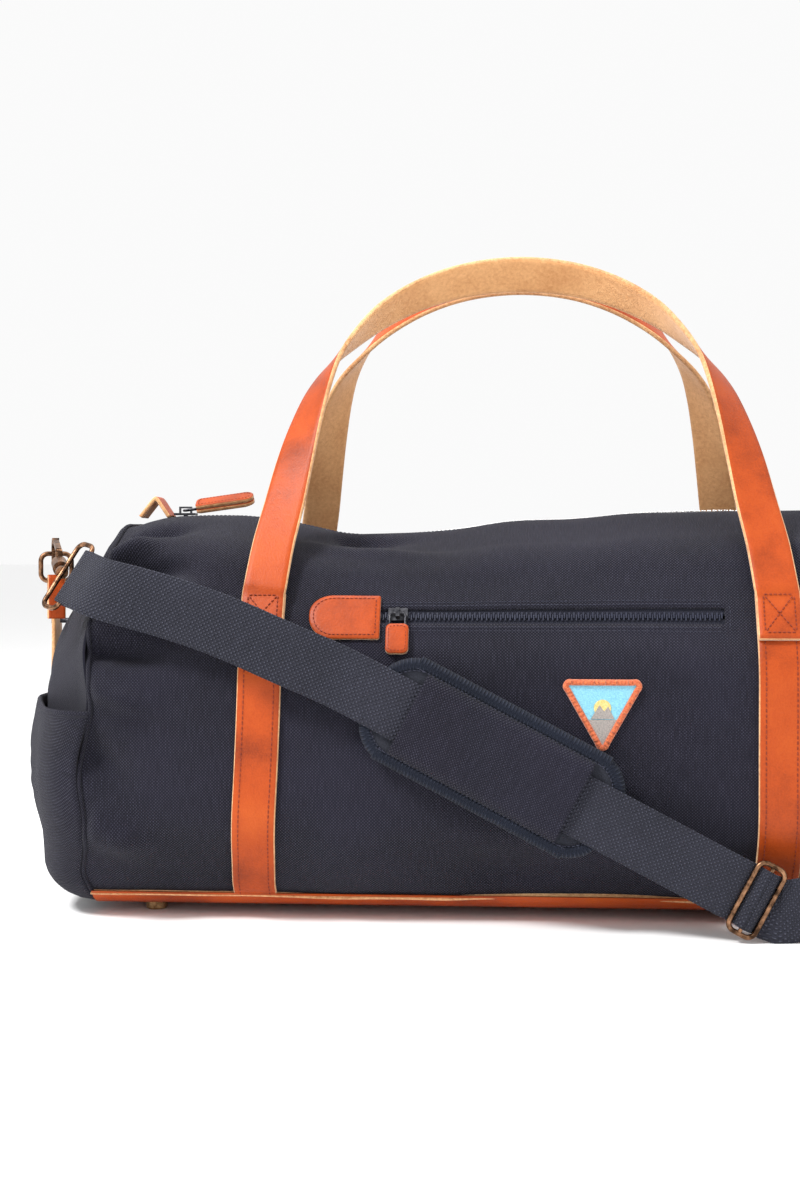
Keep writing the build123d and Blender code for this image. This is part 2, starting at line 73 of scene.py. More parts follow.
# ---- materials -------------------------------------------------------------
class Shader:
    """A Principled material, with short ways to add the nodes that feed it."""

    def __init__(self, name, **values):
        self.mat = bpy.data.materials.new(name)
        self.mat.use_nodes = True
        self.tree = self.mat.node_tree
        self.bsdf = self.tree.nodes["Principled BSDF"]
        self.set(self.bsdf, **values)

    def feed(self, socket, value):
        """Links another node's output, or sets a plain value; a colour comes without its alpha."""
        if isinstance(value, bpy.types.NodeSocket):
            self.tree.links.new(value, socket)
        elif socket.type == "RGBA":
            socket.default_value = (*value, 1)
        else:
            socket.default_value = value

    def set(self, node, **values):
        """Feeds a node's inputs by name, with _ for a space."""
        for name, value in values.items():
            self.feed(node.inputs[name.replace("_", " ")], value)

    def add(self, kind, **values):
        node = self.tree.nodes.new("ShaderNode" + kind)
        self.set(node, **values)
        return node

    def coords(self, kind="Object", scale=(1, 1, 1)):
        """Texture coordinates times a scale: kind is UV or Object, both in metres."""
        source = self.add("TexCoord").outputs[kind]
        return self.add("Mapping", Vector=source, Scale=scale).outputs["Vector"]

    def noise(self, vector, scale, detail=3.0, rough=0.5):
        node = self.add("TexNoise", Vector=vector, Scale=scale, Detail=detail, Roughness=rough)
        return node.outputs["Fac"]

    def calc(self, op, *values):
        node = self.add("Math")
        node.operation = op
        for socket, value in zip(node.inputs, values):
            self.feed(socket, value)
        return node.outputs["Value"]

    def plus(self, value, weight, rest):
        """value * weight + rest."""
        return self.calc("ADD", self.calc("MULTIPLY", value, weight), rest)

    def ramp(self, fac, *stops):
        """A colour ramp through (position, (r, g, b)) stops."""
        node = self.add("ValToRGB", Fac=fac)
        elements = node.color_ramp.elements
        while len(elements) < len(stops):
            elements.new(0.5)
        for element, (pos, rgb) in zip(elements, stops):
            element.position = pos
            element.color = (*rgb, 1)
        return node.outputs["Color"]

    def done(self, color, height, depth):
        """The finished material, with its colour and a bump of the given depth in metres."""
        bump = self.add("Bump", Height=height, Distance=depth, Strength=1.0)
        self.set(self.bsdf, Base_Color=color, Normal=bump.outputs["Normal"])
        return self.mat


def cloth_material(name, dark, light, fleck, pitch_u, pitch_v, depth, sheen, kind="UV"):
    """Plain weave at a thread pitch in metres, with broad fading and pale flecks."""
    mat = Shader(name, Roughness=0.9, Sheen_Weight=sheen, Sheen_Roughness=0.5,
                 Specular_IOR_Level=0.25)
    split = mat.add("SeparateXYZ", Vector=mat.coords(kind)).outputs
    u, v = [mat.calc("SINE", mat.calc("MULTIPLY", split[axis], math.pi / pitch))
            for axis, pitch in (("X", pitch_u), ("Y", pitch_v))]
    product = mat.calc("MULTIPLY", u, v)
    threads = mat.calc("ADD", mat.calc("ABSOLUTE", u), mat.calc("ABSOLUTE", v))
    base = mat.ramp(mat.noise(mat.coords(), 14, 4), (0.35, dark), (0.70, light))
    streak = mat.noise(mat.coords(kind, (1400, 90, 1)), 1.0, 2)
    flecks = mat.ramp(mat.plus(product, 0.5, streak), (0.70, (0, 0, 0)), (1.05, (1, 1, 1)))
    mix = mat.add("Mix")
    mix.data_type = "RGBA"
    for index, value in ((0, flecks), (6, base), (7, fleck)):
        mat.feed(mix.inputs[index], value)
    return mat.done(mix.outputs[2], mat.plus(threads, 0.5, product), depth)


def leather_material(name, dark, mid, light):
    """Smooth dyed leather: cloudy dye, pores, fine creases and an uneven gloss."""
    mat = Shader(name, Specular_IOR_Level=0.24)
    vector = mat.coords()
    cloud, pores = mat.noise(vector, 22, 5, 0.6), mat.noise(vector, 900, 4, 0.6)
    crease = mat.noise(mat.coords(scale=(60, 60, 260)), 1.0, 3)
    mat.set(mat.bsdf, Roughness=mat.plus(cloud, 0.25, 0.30))
    tone = mat.plus(cloud, 0.8, mat.calc("MULTIPLY", pores, 0.25))
    color = mat.ramp(tone, (0.32, dark), (0.54, mid), (0.80, light))
    return mat.done(color, mat.plus(crease, 0.6, pores), 0.00022)


def suede_material(name, dark, light):
    """The flesh side of the leather: pale, napped and matte."""
    mat = Shader(name, Roughness=0.95, Sheen_Weight=0.3)
    vector = mat.coords()
    nap, cloud = mat.noise(vector, 420, 5, 0.7), mat.noise(vector, 35, 3)
    tone = mat.plus(nap, 0.6, mat.calc("MULTIPLY", cloud, 0.4))
    return mat.done(mat.ramp(tone, (0.36, dark), (0.64, light)), nap, 0.0004)


def metal_material(name, dark, bright, rough):
    """Plated metal with worn highlights and dull patina."""
    mat = Shader(name, Metallic=1.0)
    spots = mat.noise(mat.coords(), 180, 5, 0.65)
    mat.set(mat.bsdf, Roughness=mat.plus(spots, 0.3, rough - 0.1))
    return mat.done(mat.ramp(spots, (0.38, dark), (0.64, bright)), spots, 0.00012)


def plain_material(name, dark, light, rough, scale=260, bump=0.0002, sheen=0.0):
    """Thread, moulded plastic and other small stuff: two tones, a fine bump."""
    mat = Shader(name, Roughness=rough, Sheen_Weight=sheen)
    fine = mat.noise(mat.coords(), scale, 4)
    return mat.done(mat.ramp(fine, (0.35, dark), (0.65, light)), fine, bump)


CANVAS = cloth_material("canvas_navy", (0.0050, 0.0046, 0.0115), (0.0105, 0.0095, 0.0210),
                        (0.048, 0.047, 0.076), 0.0010, 0.0010, 0.00050, 0.05)
WEBBING = cloth_material("webbing_navy", (0.0155, 0.0160, 0.0250), (0.0240, 0.0245, 0.0370),
                         (0.070, 0.073, 0.105), 0.0015, 0.0015, 0.0008, 0.04)
BINDING = cloth_material("binding_ribbed", (0.0035, 0.0055, 0.013), (0.007, 0.010, 0.021),
                         (0.024, 0.030, 0.052), 0.0011, 0.006, 0.0006, 0.05)
TAPE = cloth_material("zip_tape", (0.008, 0.009, 0.018), (0.014, 0.015, 0.028),
                      (0.03, 0.03, 0.05), 0.0006, 0.0006, 0.0001, 0.25, "Object")
LEATHER = leather_material("leather_saddle", (0.20, 0.0260, 0.0030), (0.40, 0.0560, 0.0050),
                           (0.50, 0.0880, 0.0090))
SUEDE = suede_material("leather_flesh", (0.60, 0.27, 0.095), (0.82, 0.44, 0.19))
EDGE = suede_material("leather_edge", (0.42, 0.17, 0.06), (0.80, 0.47, 0.22))
HIDE = [LEATHER, SUEDE, EDGE]
COPPER = metal_material("antique_copper", (0.050, 0.026, 0.015), (0.38, 0.20, 0.11), 0.32)
DARK_METAL = metal_material("dark_metal", (0.02, 0.02, 0.024), (0.10, 0.10, 0.11), 0.38)
SILVER = metal_material("zip_silver", (0.35, 0.35, 0.36), (0.80, 0.80, 0.78), 0.30)
BRASS = metal_material("foot_brass", (0.16, 0.09, 0.04), (0.55, 0.36, 0.18), 0.32)
ZIP_PLASTIC = plain_material("zip_plastic", (0.010, 0.012, 0.028), (0.018, 0.021, 0.042), 0.42)
THREAD = plain_material("thread_russet", (0.14, 0.016, 0.006), (0.26, 0.034, 0.012), 0.8, 900)
NAVY_THREAD = plain_material("thread_navy", (0.018, 0.019, 0.036), (0.040, 0.042, 0.070), 0.8, 900)
BOARD = plain_material("board_black", (0.02, 0.02, 0.02), (0.04, 0.04, 0.04), 0.7)
PAD_CLOTH = plain_material("pad_cloth", (0.006, 0.007, 0.014), (0.014, 0.016, 0.028), 0.9,
                           1500, 0.0004, 0.2)
EMBROIDERY = plain_material("badge_border", (0.42, 0.07, 0.02), (0.66, 0.16, 0.05), 0.8,
                            700, 0.0004, 0.3)
SKY, SAND, STONE = [plain_material("badge_" + name, dark, light, 0.85, 1100, 0.0003, 0.2)
                    for name, dark, light in (("sky", (0.16, 0.42, 0.56), (0.25, 0.56, 0.68)),
                                              ("sand", (0.58, 0.42, 0.12), (0.78, 0.60, 0.24)),
                                              ("stone", (0.24, 0.22, 0.21), (0.36, 0.32, 0.29)))]


# ---- mesh helpers ----------------------------------------------------------
def make_object(name, verts, faces, materials, uvs=None, face_material=None, smooth=True):
    """A mesh object at the origin. verts are in mm, uvs one pair per vertex in metres."""
    mesh = bpy.data.meshes.new(name)
    mesh.from_pydata([tuple(v) for v in at(verts)], [], [tuple(int(i) for i in f) for f in faces])
    for mat in materials:
        mesh.materials.append(mat)
    if face_material is not None and len(materials) > 1:
        mesh.polygons.foreach_set("material_index", np.asarray(face_material, dtype=np.int32))
    if uvs is not None:
        layer = mesh.uv_layers.new(name="UVMap")
        loops = np.empty(len(mesh.loops), dtype=np.int32)
        mesh.loops.foreach_get("vertex_index", loops)
        layer.data.foreach_set("uv", np.asarray(uvs, dtype=np.float32)[loops].ravel())
    mesh.polygons.foreach_set("use_smooth", np.full(len(mesh.polygons), smooth))
    mesh.update()
    obj = bpy.data.objects.new(name, mesh)
    bpy.context.scene.collection.objects.link(obj)
    return obj


def thicken(obj, thickness):
    """Gives a sheet a thickness in mm, inwards from its outer face."""
    solid = obj.modifiers.new("thickness", "SOLIDIFY")
    solid.thickness, solid.offset = thickness * MM, -1


def grid_faces(rows, cols, wrap_rows=False, wrap_cols=False, start=0):
    """Four-sided faces over a grid of vertices counted along its rows."""
    faces = []
    for i in range(rows if wrap_rows else rows - 1):
        for j in range(cols if wrap_cols else cols - 1):
            a = start + i * cols + j
            b = start + i * cols + (j + 1) % cols
            c = start + ((i + 1) % rows) * cols + (j + 1) % cols
            d = start + ((i + 1) % rows) * cols + j
            faces.append((a, d, c, b))
    return faces


def lengths(points):
    """The distance along a path at each of its points."""
    return np.concatenate([[0], np.cumsum(np.linalg.norm(np.diff(points[:, :3], axis=0), axis=1))])


def sample(rows, length, want):
    """Rows of numbers at the wanted distances along a path."""
    return np.stack([np.interp(want, length, rows[:, k]) for k in range(rows.shape[1])], axis=1)


def smooth_curve(points, count, closed=False):
    """A Catmull-Rom curve through points (any width of row), resampled evenly by length."""
    p = np.asarray(points, float)
    n = len(p)
    fine = []
    for i in range(n if closed else n - 1):
        if closed:
            a, b, c, d = p[i - 1], p[i], p[(i + 1) % n], p[(i + 2) % n]
        else:
            a, b, c, d = p[max(i - 1, 0)], p[i], p[i + 1], p[min(i + 2, n - 1)]
        t = np.linspace(0, 1, 24, endpoint=False)[:, None]
        fine.append(0.5 * (2 * b + (c - a) * t + (2 * a - 5 * b + 4 * c - d) * t ** 2
                           + (3 * b - a - 3 * c + d) * t ** 3))
    fine = np.vstack(fine + [p[:1] if closed else p[-1:]])
    length = lengths(fine)
    out = sample(fine, length, np.linspace(0, length[-1], count + 1 if closed else count))
    return out[:-1] if closed else out


UP = np.array([0.0, 0.0, 1.0])


def normalize(v):
    return v / np.maximum(np.linalg.norm(v, axis=-1, keepdims=True), 1e-9)


def tangents(points, closed=False):
    if closed:
        return normalize(np.roll(points, -1, axis=0) - np.roll(points, 1, axis=0))
    return normalize(np.gradient(points, axis=0))


def strap(name, centre, across, width, thickness, materials, edge_round=0.45, crown=0.0):
    """A flat strap along centre, with its width along across, which is one direction or one for
    each point; the outer face has material 0, the inner face material 1 and the edges 2."""
    centre = np.asarray(centre, float)
    along = tangents(centre)
    across = np.asarray(across, float)
    across = normalize(across - along * np.sum(across * along, axis=1, keepdims=True))
    out = normalize(np.cross(along, across))
    half_w, half_t = width / 2, thickness / 2
    inset = min(edge_round, half_t * 0.9)
    spread = np.linspace(-1, 1, 9) * (half_w - inset)
    top = [(s, half_t + crown * (1 - (s / half_w) ** 2), 0) for s in spread]
    right = [(half_w, half_t - inset, 2), (half_w, -half_t + inset, 2)]
    bottom = [(s, -half_t + crown * (1 - (s / half_w) ** 2), 1) for s in spread[::-1]]
    left = [(-half_w, -half_t + inset, 2), (-half_w, half_t - inset, 2)]
    ring = top + right + bottom + left
    length = lengths(centre)
    verts = np.concatenate([centre[:, None, :] + across[:, None, :] * s + out[:, None, :] * t
                            for s, t, _ in ring], axis=1).reshape(-1, 3)
    rows, cols = len(centre), len(ring)
    uvs = [(length[i] * MM, ring[j][0] * MM) for i in range(rows) for j in range(cols)]
    faces = grid_faces(rows, cols, wrap_cols=True)
    side = []
    for j in range(cols):
        here, there = ring[j][2], ring[(j + 1) % cols][2]
        side.append(here if here == there else 2)
    face_material = [side[j] for _ in range(rows - 1) for j in range(cols)]
    faces.append(tuple(range(cols)))
    faces.append(tuple(reversed(range((rows - 1) * cols, rows * cols))))
    face_material += [2, 2]
    obj = make_object(name, verts, faces, materials, uvs, face_material)
    obj.data.validate()
    return obj, out


def tube(name, path, radius, material, closed=False, sides=10):
    """Round wire or piping along a path."""
    path = np.asarray(path, float)
    along = tangents(path, closed)
    guide = UP if abs(along[0] @ UP) < 0.9 else np.array([1.0, 0.0, 0.0])
    normals = []
    previous = guide - along[0] * (guide @ along[0])
    for t in along:
        previous = previous - t * (previous @ t)
        previous /= np.linalg.norm(previous)
        normals.append(previous)
    normals = np.array(normals)
    binormals = np.cross(along, normals)
    angles = np.linspace(0, 2 * math.pi, sides, endpoint=False)
    spokes = (np.cos(angles)[None, :, None] * normals[:, None, :]
              + np.sin(angles)[None, :, None] * binormals[:, None, :])
    verts = (path[:, None, :] + radius * spokes).reshape(-1, 3)
    faces = [f[::-1] for f in grid_faces(len(path), sides, wrap_rows=closed, wrap_cols=True)]
    if not closed:
        faces.append(tuple(range(sides)))
        faces.append(tuple(reversed(range((len(path) - 1) * sides, len(path) * sides))))
    length = lengths(path)
    uvs = [(length[i] * MM, j * radius * MM) for i in range(len(path)) for j in range(sides)]
    return make_object(name, verts, faces, [material], uvs)


BEAD_SIDES = 5
BEAD = ((-0.12, 0.6), (0.12, 1.0), (0.12, 1.0), (-0.12, 0.6))     # height and width along a stitch


def stitches(name, lines, material, pitch=3.2, stitch=2.3, radius=0.32):
    """Rows of sewn thread. lines is a list of (path, outward normals); each stitch is a small
    bead that dips into the surface at both ends."""
    verts, faces = [], []
    last = BEAD_SIDES * (len(BEAD) - 1)
    for path, normals in lines:
        path = np.asarray(path, float)
        normals = np.broadcast_to(np.asarray(normals, float), path.shape)
        length = lengths(path)
        for start in np.arange(pitch * 0.5, length[-1] - stitch, pitch):
            along = start + np.linspace(0, stitch, len(BEAD))
            centre, normal = sample(path, length, along), normalize(sample(normals, length, along))
            side = np.cross(normalize(centre[-1] - centre[0]), normal)
            base = len(verts)
            for k, (lift, swell_by) in enumerate(BEAD):
                r = radius * swell_by
                for a in range(BEAD_SIDES):
                    angle = 2 * math.pi * a / BEAD_SIDES
                    verts.append(centre[k] + normal[k] * (lift + r * math.cos(angle))
                                 + side[k] * r * math.sin(angle))
            faces += grid_faces(len(BEAD), BEAD_SIDES, wrap_cols=True, start=base)
            faces.append(tuple(base + i for i in range(BEAD_SIDES)))
            faces.append(tuple(base + last + i for i in reversed(range(BEAD_SIDES))))
    return make_object(name, np.array(verts), faces, [material])


def finish_piece(obj, body, slot, *nodes):
    """Hides the CAD nodes that a piece stands for and parents the piece to its body's empty; slot is not
    used.
    """
    if nodes:
        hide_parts(*nodes)
    if body:
        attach(obj, body)
    return obj


# ---- the bag's skin --------------------------------------------------------
HALF_LENGTH = 270.0
SECTION = [(118, 9), (152, 62), (150, 165), (112, 238), (58, 259)]
SECTION_R = [34, 52, 60, 44, 70]
TOP_Z = 259.0
LIP_Z = 17.0


def fillet_path(corners, radii, fine=40):
    """An open polyline through 2-D corners, each inner one rounded to its radius."""
    p = np.asarray(corners, float)
    out = [p[0]]
    for i in range(1, len(p) - 1):
        a, b = normalize(p[i - 1] - p[i]), normalize(p[i + 1] - p[i])
        half = math.acos(np.clip(a @ b, -1, 1)) / 2
        reach = radii[i - 1] / math.tan(half)
        centre = p[i] + normalize(a + b) * radii[i - 1] / math.sin(half)
        start, end = p[i] + a * reach - centre, p[i] + b * reach - centre
        turn = math.atan2(start[0] * end[1] - start[1] * end[0], start @ end)
        for t in np.linspace(0, turn, fine):
            out.append(centre + np.array([start[0] * math.cos(t) - start[1] * math.sin(t),
                                          start[0] * math.sin(t) + start[1] * math.cos(t)]))
    out.append(p[-1])
    return np.array(out)


# from the top middle down the front to the bottom middle, as (y, z); s is the distance along it
OUTLINE = fillet_path([(0, TOP_Z)] + [(-y, z) for y, z in reversed(SECTION)] + [(0, SECTION[0][1])],
                      SECTION_R[::-1])
OUTLINE_S = lengths(OUTLINE)
HALF_GIRTH = OUTLINE_S[-1]


def outline(s):
    """(y, z) and the outward normal at distance s from the top middle down the front."""
    s = np.asarray(s, float)
    y, z = [np.interp(s, OUTLINE_S, OUTLINE[:, k]) for k in (0, 1)]
    dy, dz = [np.interp(s + 2, OUTLINE_S, OUTLINE[:, k]) - np.interp(s - 2, OUTLINE_S, OUTLINE[:, k])
              for k in (0, 1)]
    length = np.maximum(np.hypot(dy, dz), 1e-9)
    return y, z, dz / length, -dy / length


def s_at_z(z):
    """Distance down the front outline at which it is at height z, on the way down."""
    return float(np.interp(-z, -OUTLINE[:, 1][OUTLINE_S > 30], OUTLINE_S[OUTLINE_S > 30]))


CREASE_DEPTH = 3.2
BAND_X, BAND_W = 158.0, 27.0


def gauss(t):
    return np.exp(-t * t)


# creases in the canvas: from (x, s) to (x, s), half width, height; the ends of the bag pucker most
CREASES = [
    ((-268, 150), (-205, 128), 9, -4.5), ((-268, 172), (-196, 160), 8, 4.0),
    ((-268, 190), (-212, 192), 8, -4.0), ((-266, 214), (-220, 226), 8, 3.2),
    ((-262, 122), (-226, 106), 8, 3.6), ((-250, 92), (-206, 84), 8, -3.0),
    ((-268, 250), (-232, 276), 11, -2.6), ((-262, 300), (-222, 320), 12, 2.0),
    ((-240, 140), (-186, 150), 6, 2.4), ((268, 146), (214, 126), 9, -4.2),
    ((268, 168), (200, 156), 8, 3.8), ((268, 196), (216, 198), 8, -3.6),
    ((266, 222), (222, 236), 9, 3.0), ((262, 118), (226, 104), 8, 3.2),
    ((250, 88), (204, 82), 8, -3.0), ((268, 262), (230, 284), 11, -2.4),
    ((-130, 96), (-40, 108), 9, 1.6), ((-112, 70), (-60, 78), 8, -2.0),
    ((-60, 250), (60, 262), 26, 1.6), ((90, 290), (150, 300), 20, -1.2), ((-150, 330), (-60, 322), 22, 1.3),
    ((150, 110), (196, 120), 8, 1.6), ((-20, 330), (110, 345), 18, -1.2),
]
# how far the top hangs below its full height, along the bag
SAG_X, SAG = zip((-270, -11.0), (-256, -6.5), (-240, -2.0), (-200, -1.5), (-175, -2.5), (-144, -8.5),
                 (-117, -15.0), (-76, -14.0), (-36, -11.0), (-11, -7.0), (44, -5.5), (76, -1.5),
                 (122, 0.0), (189, 0.5), (240, -1.0), (256, -4.0), (270, -8.0))


def sag_at(x):
    """The top's height against its full height, smoothed over 24 mm."""
    return sum(np.interp(np.asarray(x) + shift, SAG_X, SAG) for shift in (0, -12, 12)) / 3


def swell(x, s, side):
    """Outward displacement of the canvas in mm, from broad slack, creases and fine rumples."""
    x, s = np.broadcast_arrays(np.asarray(x, float), np.asarray(s, float))
    mirror = 1.0 if side < 0 else -1.0
    total = np.zeros(x.shape)
    for (x0, s0), (x1, s1), width, height in CREASES:
        dx, ds = x1 - x0, s1 - s0
        length = math.hypot(dx, ds)
        along = ((x * mirror - x0) * dx + (s - s0) * ds) / length
        off = (-(x * mirror - x0) * ds + (s - s0) * dx) / length
        t = np.clip(along / length, -0.4, 1.6)
        taper = gauss(np.maximum(t - 0.35, 0) / 0.42) * gauss(np.minimum(t + 0.02, 0) / 0.12)
        total += CREASE_DEPTH * height * taper * gauss(off / width)
    phase = 0.0 if side < 0 else 1.7
    total += 0.9 * np.sin(x / 47 + s / 61 + phase) * np.sin(s / 38 - x / 83 + 0.6)
    total += 0.45 * np.sin(x / 17.0 + 1.3 * np.sin(s / 23) + phase) * np.sin(s / 19.0 + x / 41)
    # held down by the bands, the zips and the base; free elsewhere
    hold = np.ones(x.shape)
    for band in (-BAND_X, BAND_X):
        hold -= 0.85 * gauss((x - band) / 24)
    hold *= 1 - gauss((HALF_GIRTH - s) / 60)
    hold *= 1 - gauss(s / 26)
    if side < 0:
        hold *= 1 - 0.8 * gauss((s - ZIP_S) / 16) * np.where((x > -135) & (x < 136), 1, 0)
    hold *= 1 - 0.6 * gauss((HALF_LENGTH - np.abs(x)) / 5)
    return total * np.clip(hold, 0, 1)


def seam_wander(x, z):
    """How far the end seams stray from a straight line: in at the top, out at the bottom."""
    reach = np.clip((np.abs(x) - 205) / 65, 0, 1) ** 1.5
    stray = 4.0 - 11.0 * np.clip((z - 20) / 190, 0, 1)
    stray += 2.8 * np.sin(z / 12.5) * np.clip((235 - z) / 40, 0, 1)
    return np.sign(x) * reach * stray * np.clip((z - 12) / 20, 0, 1)


def skin(x, s, side, lift=0.0):
    """Points on the canvas at x and girth distance s on one side (-1 front, 1 back)."""
    x, s = np.broadcast_arrays(np.asarray(x, float), np.asarray(s, float))
    y, z, ny, nz = outline(s)
    off = swell(x, s, side) + lift
    sag = sag_at(x) * np.clip((S_SHOULDER - s) / 70, 0, 1) ** 1.2
    out = np.stack([x + seam_wander(x, z), y + ny * off, z + nz * off + sag], axis=-1)
    out[..., 1] *= -side
    return out


def skin_normal(x, s, side):
    """The outward normal of the unrumpled canvas, as for skin()."""
    x, s = np.broadcast_arrays(np.asarray(x, float), np.asarray(s, float))
    _, _, ny, nz = outline(s)
    return np.stack([0 * x, -side * ny, nz], axis=-1)


S_SHOULDER = s_at_z(190)
ZIP_Z = 193.0
ZIP_S = s_at_z(ZIP_Z)


CANVAS_T = 1.6


def panel(name, side, x_stations, s_stations, hole=None):
    """One long canvas panel, with its zip slot left open."""
    xs, ss = np.meshgrid(x_stations, s_stations, indexing="ij")
    points = skin(xs, ss, side)
    rows, cols = xs.shape
    faces, keep = grid_faces(rows, cols), []
    for f in faces:
        i, j = divmod(f[0], cols)
        mid_x = (x_stations[i] + x_stations[i + 1]) / 2
        mid_s = (s_stations[j] + s_stations[j + 1]) / 2
        if hole and hole[0] < mid_x < hole[1] and abs(mid_s - ZIP_S) < hole[2]:
            continue
        keep.append(f if side > 0 else f[::-1])
    uvs = np.stack([xs.ravel() * MM, ss.ravel() * MM], axis=1)
    obj = make_object(name, points.reshape(-1, 3), keep, [CANVAS], uvs)
    thicken(obj, CANVAS_T)
    return obj


def stations(low, high, step, *exact):
    """Even stations, with the nearest one moved to each exact value."""
    base = np.linspace(low, high, int(round((high - low) / step)) + 1)
    for value in exact:
        base[np.argmin(np.abs(base - value))] = value
    return np.unique(base)


SLOT = (-92.0, 126.0, 5.5)
S_BASE = s_at_z(12.5)
front_x = stations(-HALF_LENGTH, HALF_LENGTH, 2.5, SLOT[0], SLOT[1])
front_s = stations(9, S_BASE, 2.5, ZIP_S - SLOT[2], ZIP_S + SLOT[2])
front_skin = panel("front_canvas", -1, front_x, front_s, SLOT)
back_skin = panel("back_canvas", 1, stations(-HALF_LENGTH, HALF_LENGTH, 3), stations(9, S_BASE, 3))
finish_piece(front_skin, "bag", "canvas", "front_panel")
finish_piece(back_skin, "bag", "canvas", "back_panel")


# ---- ends, pockets and piping ----------------------------------------------
def section_ring(scale_by, centre_z, count):
    """The whole cross-section scaled about the middle line, as (y, z) from the bottom middle up
    the front, over the top and down the back."""
    y, z, _, _ = outline(np.linspace(HALF_GIRTH, 0, count // 2 + 1))
    y, z = np.concatenate([y, -y[::-1][1:]]), np.concatenate([z, z[::-1][1:]])
    return np.stack([y * scale_by, centre_z + (z - centre_z) * scale_by], axis=1)


# stages of a bulging end: distance from the middle of the bag, and scale of the cross-section
PANEL_DOME = [(270, 0.997), (273, 0.95), (279, 0.85), (288, 0.73), (300, 0.58), (311, 0.44), (318, 0.31),
              (321.5, 0.16), (322.3, 0.0)]
POCKET_DOME = [(269.5, 1.008), (276, 1.0), (283, 0.985), (291, 0.945), (299, 0.865), (305.5, 0.75),
               (312, 0.61), (320, 0.47), (327.5, 0.34), (333.5, 0.22), (337, 0.10), (338, 0.0)]
DOME_REACH = 150    # a scale of 1 counts as this many mm, to space the rings evenly
MOUTH_Z = 131.0


def dome(name, side, stages, centre_z, mouth_z, rumple, count=160, rows=46):
    """A bulging end, from the seam to its middle, cut at mouth_z if it is a pocket."""
    fine = smooth_curve([(x, k * DOME_REACH, 0) for x, k in stages], rows)
    profile = lengths(fine)
    around = np.linspace(0, 2 * HALF_GIRTH, count + 1)
    angle = np.linspace(0, 2 * math.pi, count + 1)
    verts, uvs = [], []
    for i, (x, reach, _) in enumerate(fine):
        scale_by, depth = reach / DOME_REACH, i / (rows - 1)
        y, z = section_ring(max(scale_by, 0.004), centre_z, count).T
        wave = rumple * (np.sin(5 * angle + 1.5 * side) * math.sin(math.pi * min(depth * 1.2, 1))
                         + 0.6 * np.sin(11 * angle + 0.4) * gauss((depth - 0.12) / 0.18)
                         + 0.35 * np.sin(17 * angle + 9 * depth)) * min(1, i / 4)
        stray = seam_wander(side * HALF_LENGTH, z) * (1 - depth) ** 2
        points = np.stack([side * (x + wave * depth) + stray, y * (1 + wave / 400), z + 0.4 * wave], axis=1)
        if mouth_z is None:
            # the seam follows the sagging top of the long panels
            points[:, 2] += sag_at(side * HALF_LENGTH) * np.clip((z - 190) / 60, 0, 1) * (1 - depth)
        else:
            points[:, 2] = np.minimum(points[:, 2], mouth_z)
        verts.append(points)
        uvs.append(np.stack([around * max(scale_by, 0.3), np.full(count + 1, profile[i])], axis=1) * MM)
    grid = np.array(verts)
    flat = grid.reshape(-1, 3)
    faces = [f if side < 0 else f[::-1] for f in grid_faces(rows, count + 1)
             if mouth_z is None or min(flat[v][2] for v in f) < mouth_z - 1e-6]
    obj = make_object(name, flat, faces, [CANVAS], np.array(uvs).reshape(-1, 2))
    thicken(obj, CANVAS_T)
    return obj, grid


def mouth_path(grid):
    """The cut edge of a pocket, from the seam round its front and back to the seam again."""
    front_rim, back_rim = [], []
    for row in grid:
        above = np.where(row[:, 2] >= MOUTH_Z - 1e-6)[0]
        if len(above):
            front_rim.append(row[above[0]])
            back_rim.append(row[above[-1]])
    rim = np.array(front_rim + back_rim[::-1])
    keep = [0] + [i for i in range(1, len(rim)) if np.linalg.norm(rim[i] - rim[i - 1]) > 0.8]
    rim = smooth_curve(rim[keep], 150)
    rim[:, 2] = MOUTH_Z - 1.5
    return rim


for side, word in ENDS:
    end, _ = dome(f"{word}_end_canvas", side, PANEL_DOME, 120, None, 1.1)
    finish_piece(end, "bag", "canvas", f"{word}_end_panel")
    pocket, grid = dome(f"{word}_pocket_canvas", side, POCKET_DOME, 80, MOUTH_Z, 0.9)
    finish_piece(pocket, "bag", "canvas", f"{word}_end_pocket")
    # the bound mouth: a rolled strip along the cut edge
    binding, _ = strap(f"{word}_pocket_mouth", mouth_path(grid), UP, 8.5, 3.2, [CANVAS] * 3, 1.4)
    finish_piece(binding, "bag", "canvas", f"{word}_pocket_binding")
    seam_s = np.linspace(HALF_GIRTH - 12, 0, 110)
    seam = np.concatenate([skin(side * 268.5, seam_s, -1, 0.6), skin(side * 268.5, seam_s[::-1][1:], 1, 0.6)])
    piping = tube(f"{word}_seam_piping", seam, 1.5, CANVAS)
    finish_piece(piping, "bag", "canvas", f"{word}_end_piping")


# ---- leather base and bands ------------------------------------------------
def band_lean(x, s, side):
    """The front left band strays outwards towards its foot."""
    return -7.0 * np.clip((s - S_BAND_TOP - 40) / 150, 0, 1) ** 1.5 * (side < 0) * (x < 0)


def on_band(x, s, side, lift, off=0.0):
    """Points on a band whose middle is at x, off to one side of that middle."""
    points = skin(x, s, side, lift)
    points[:, 0] += off + band_lean(x, s, side)
    return points


BAND_T, BAND_GAP = 2.6, 0.2
S_BAND_TOP, S_BAND_END = s_at_z(206), s_at_z(15.5)
S_BAND_THREAD = np.linspace(S_BAND_TOP + 31, S_BAND_END - 1, 120)

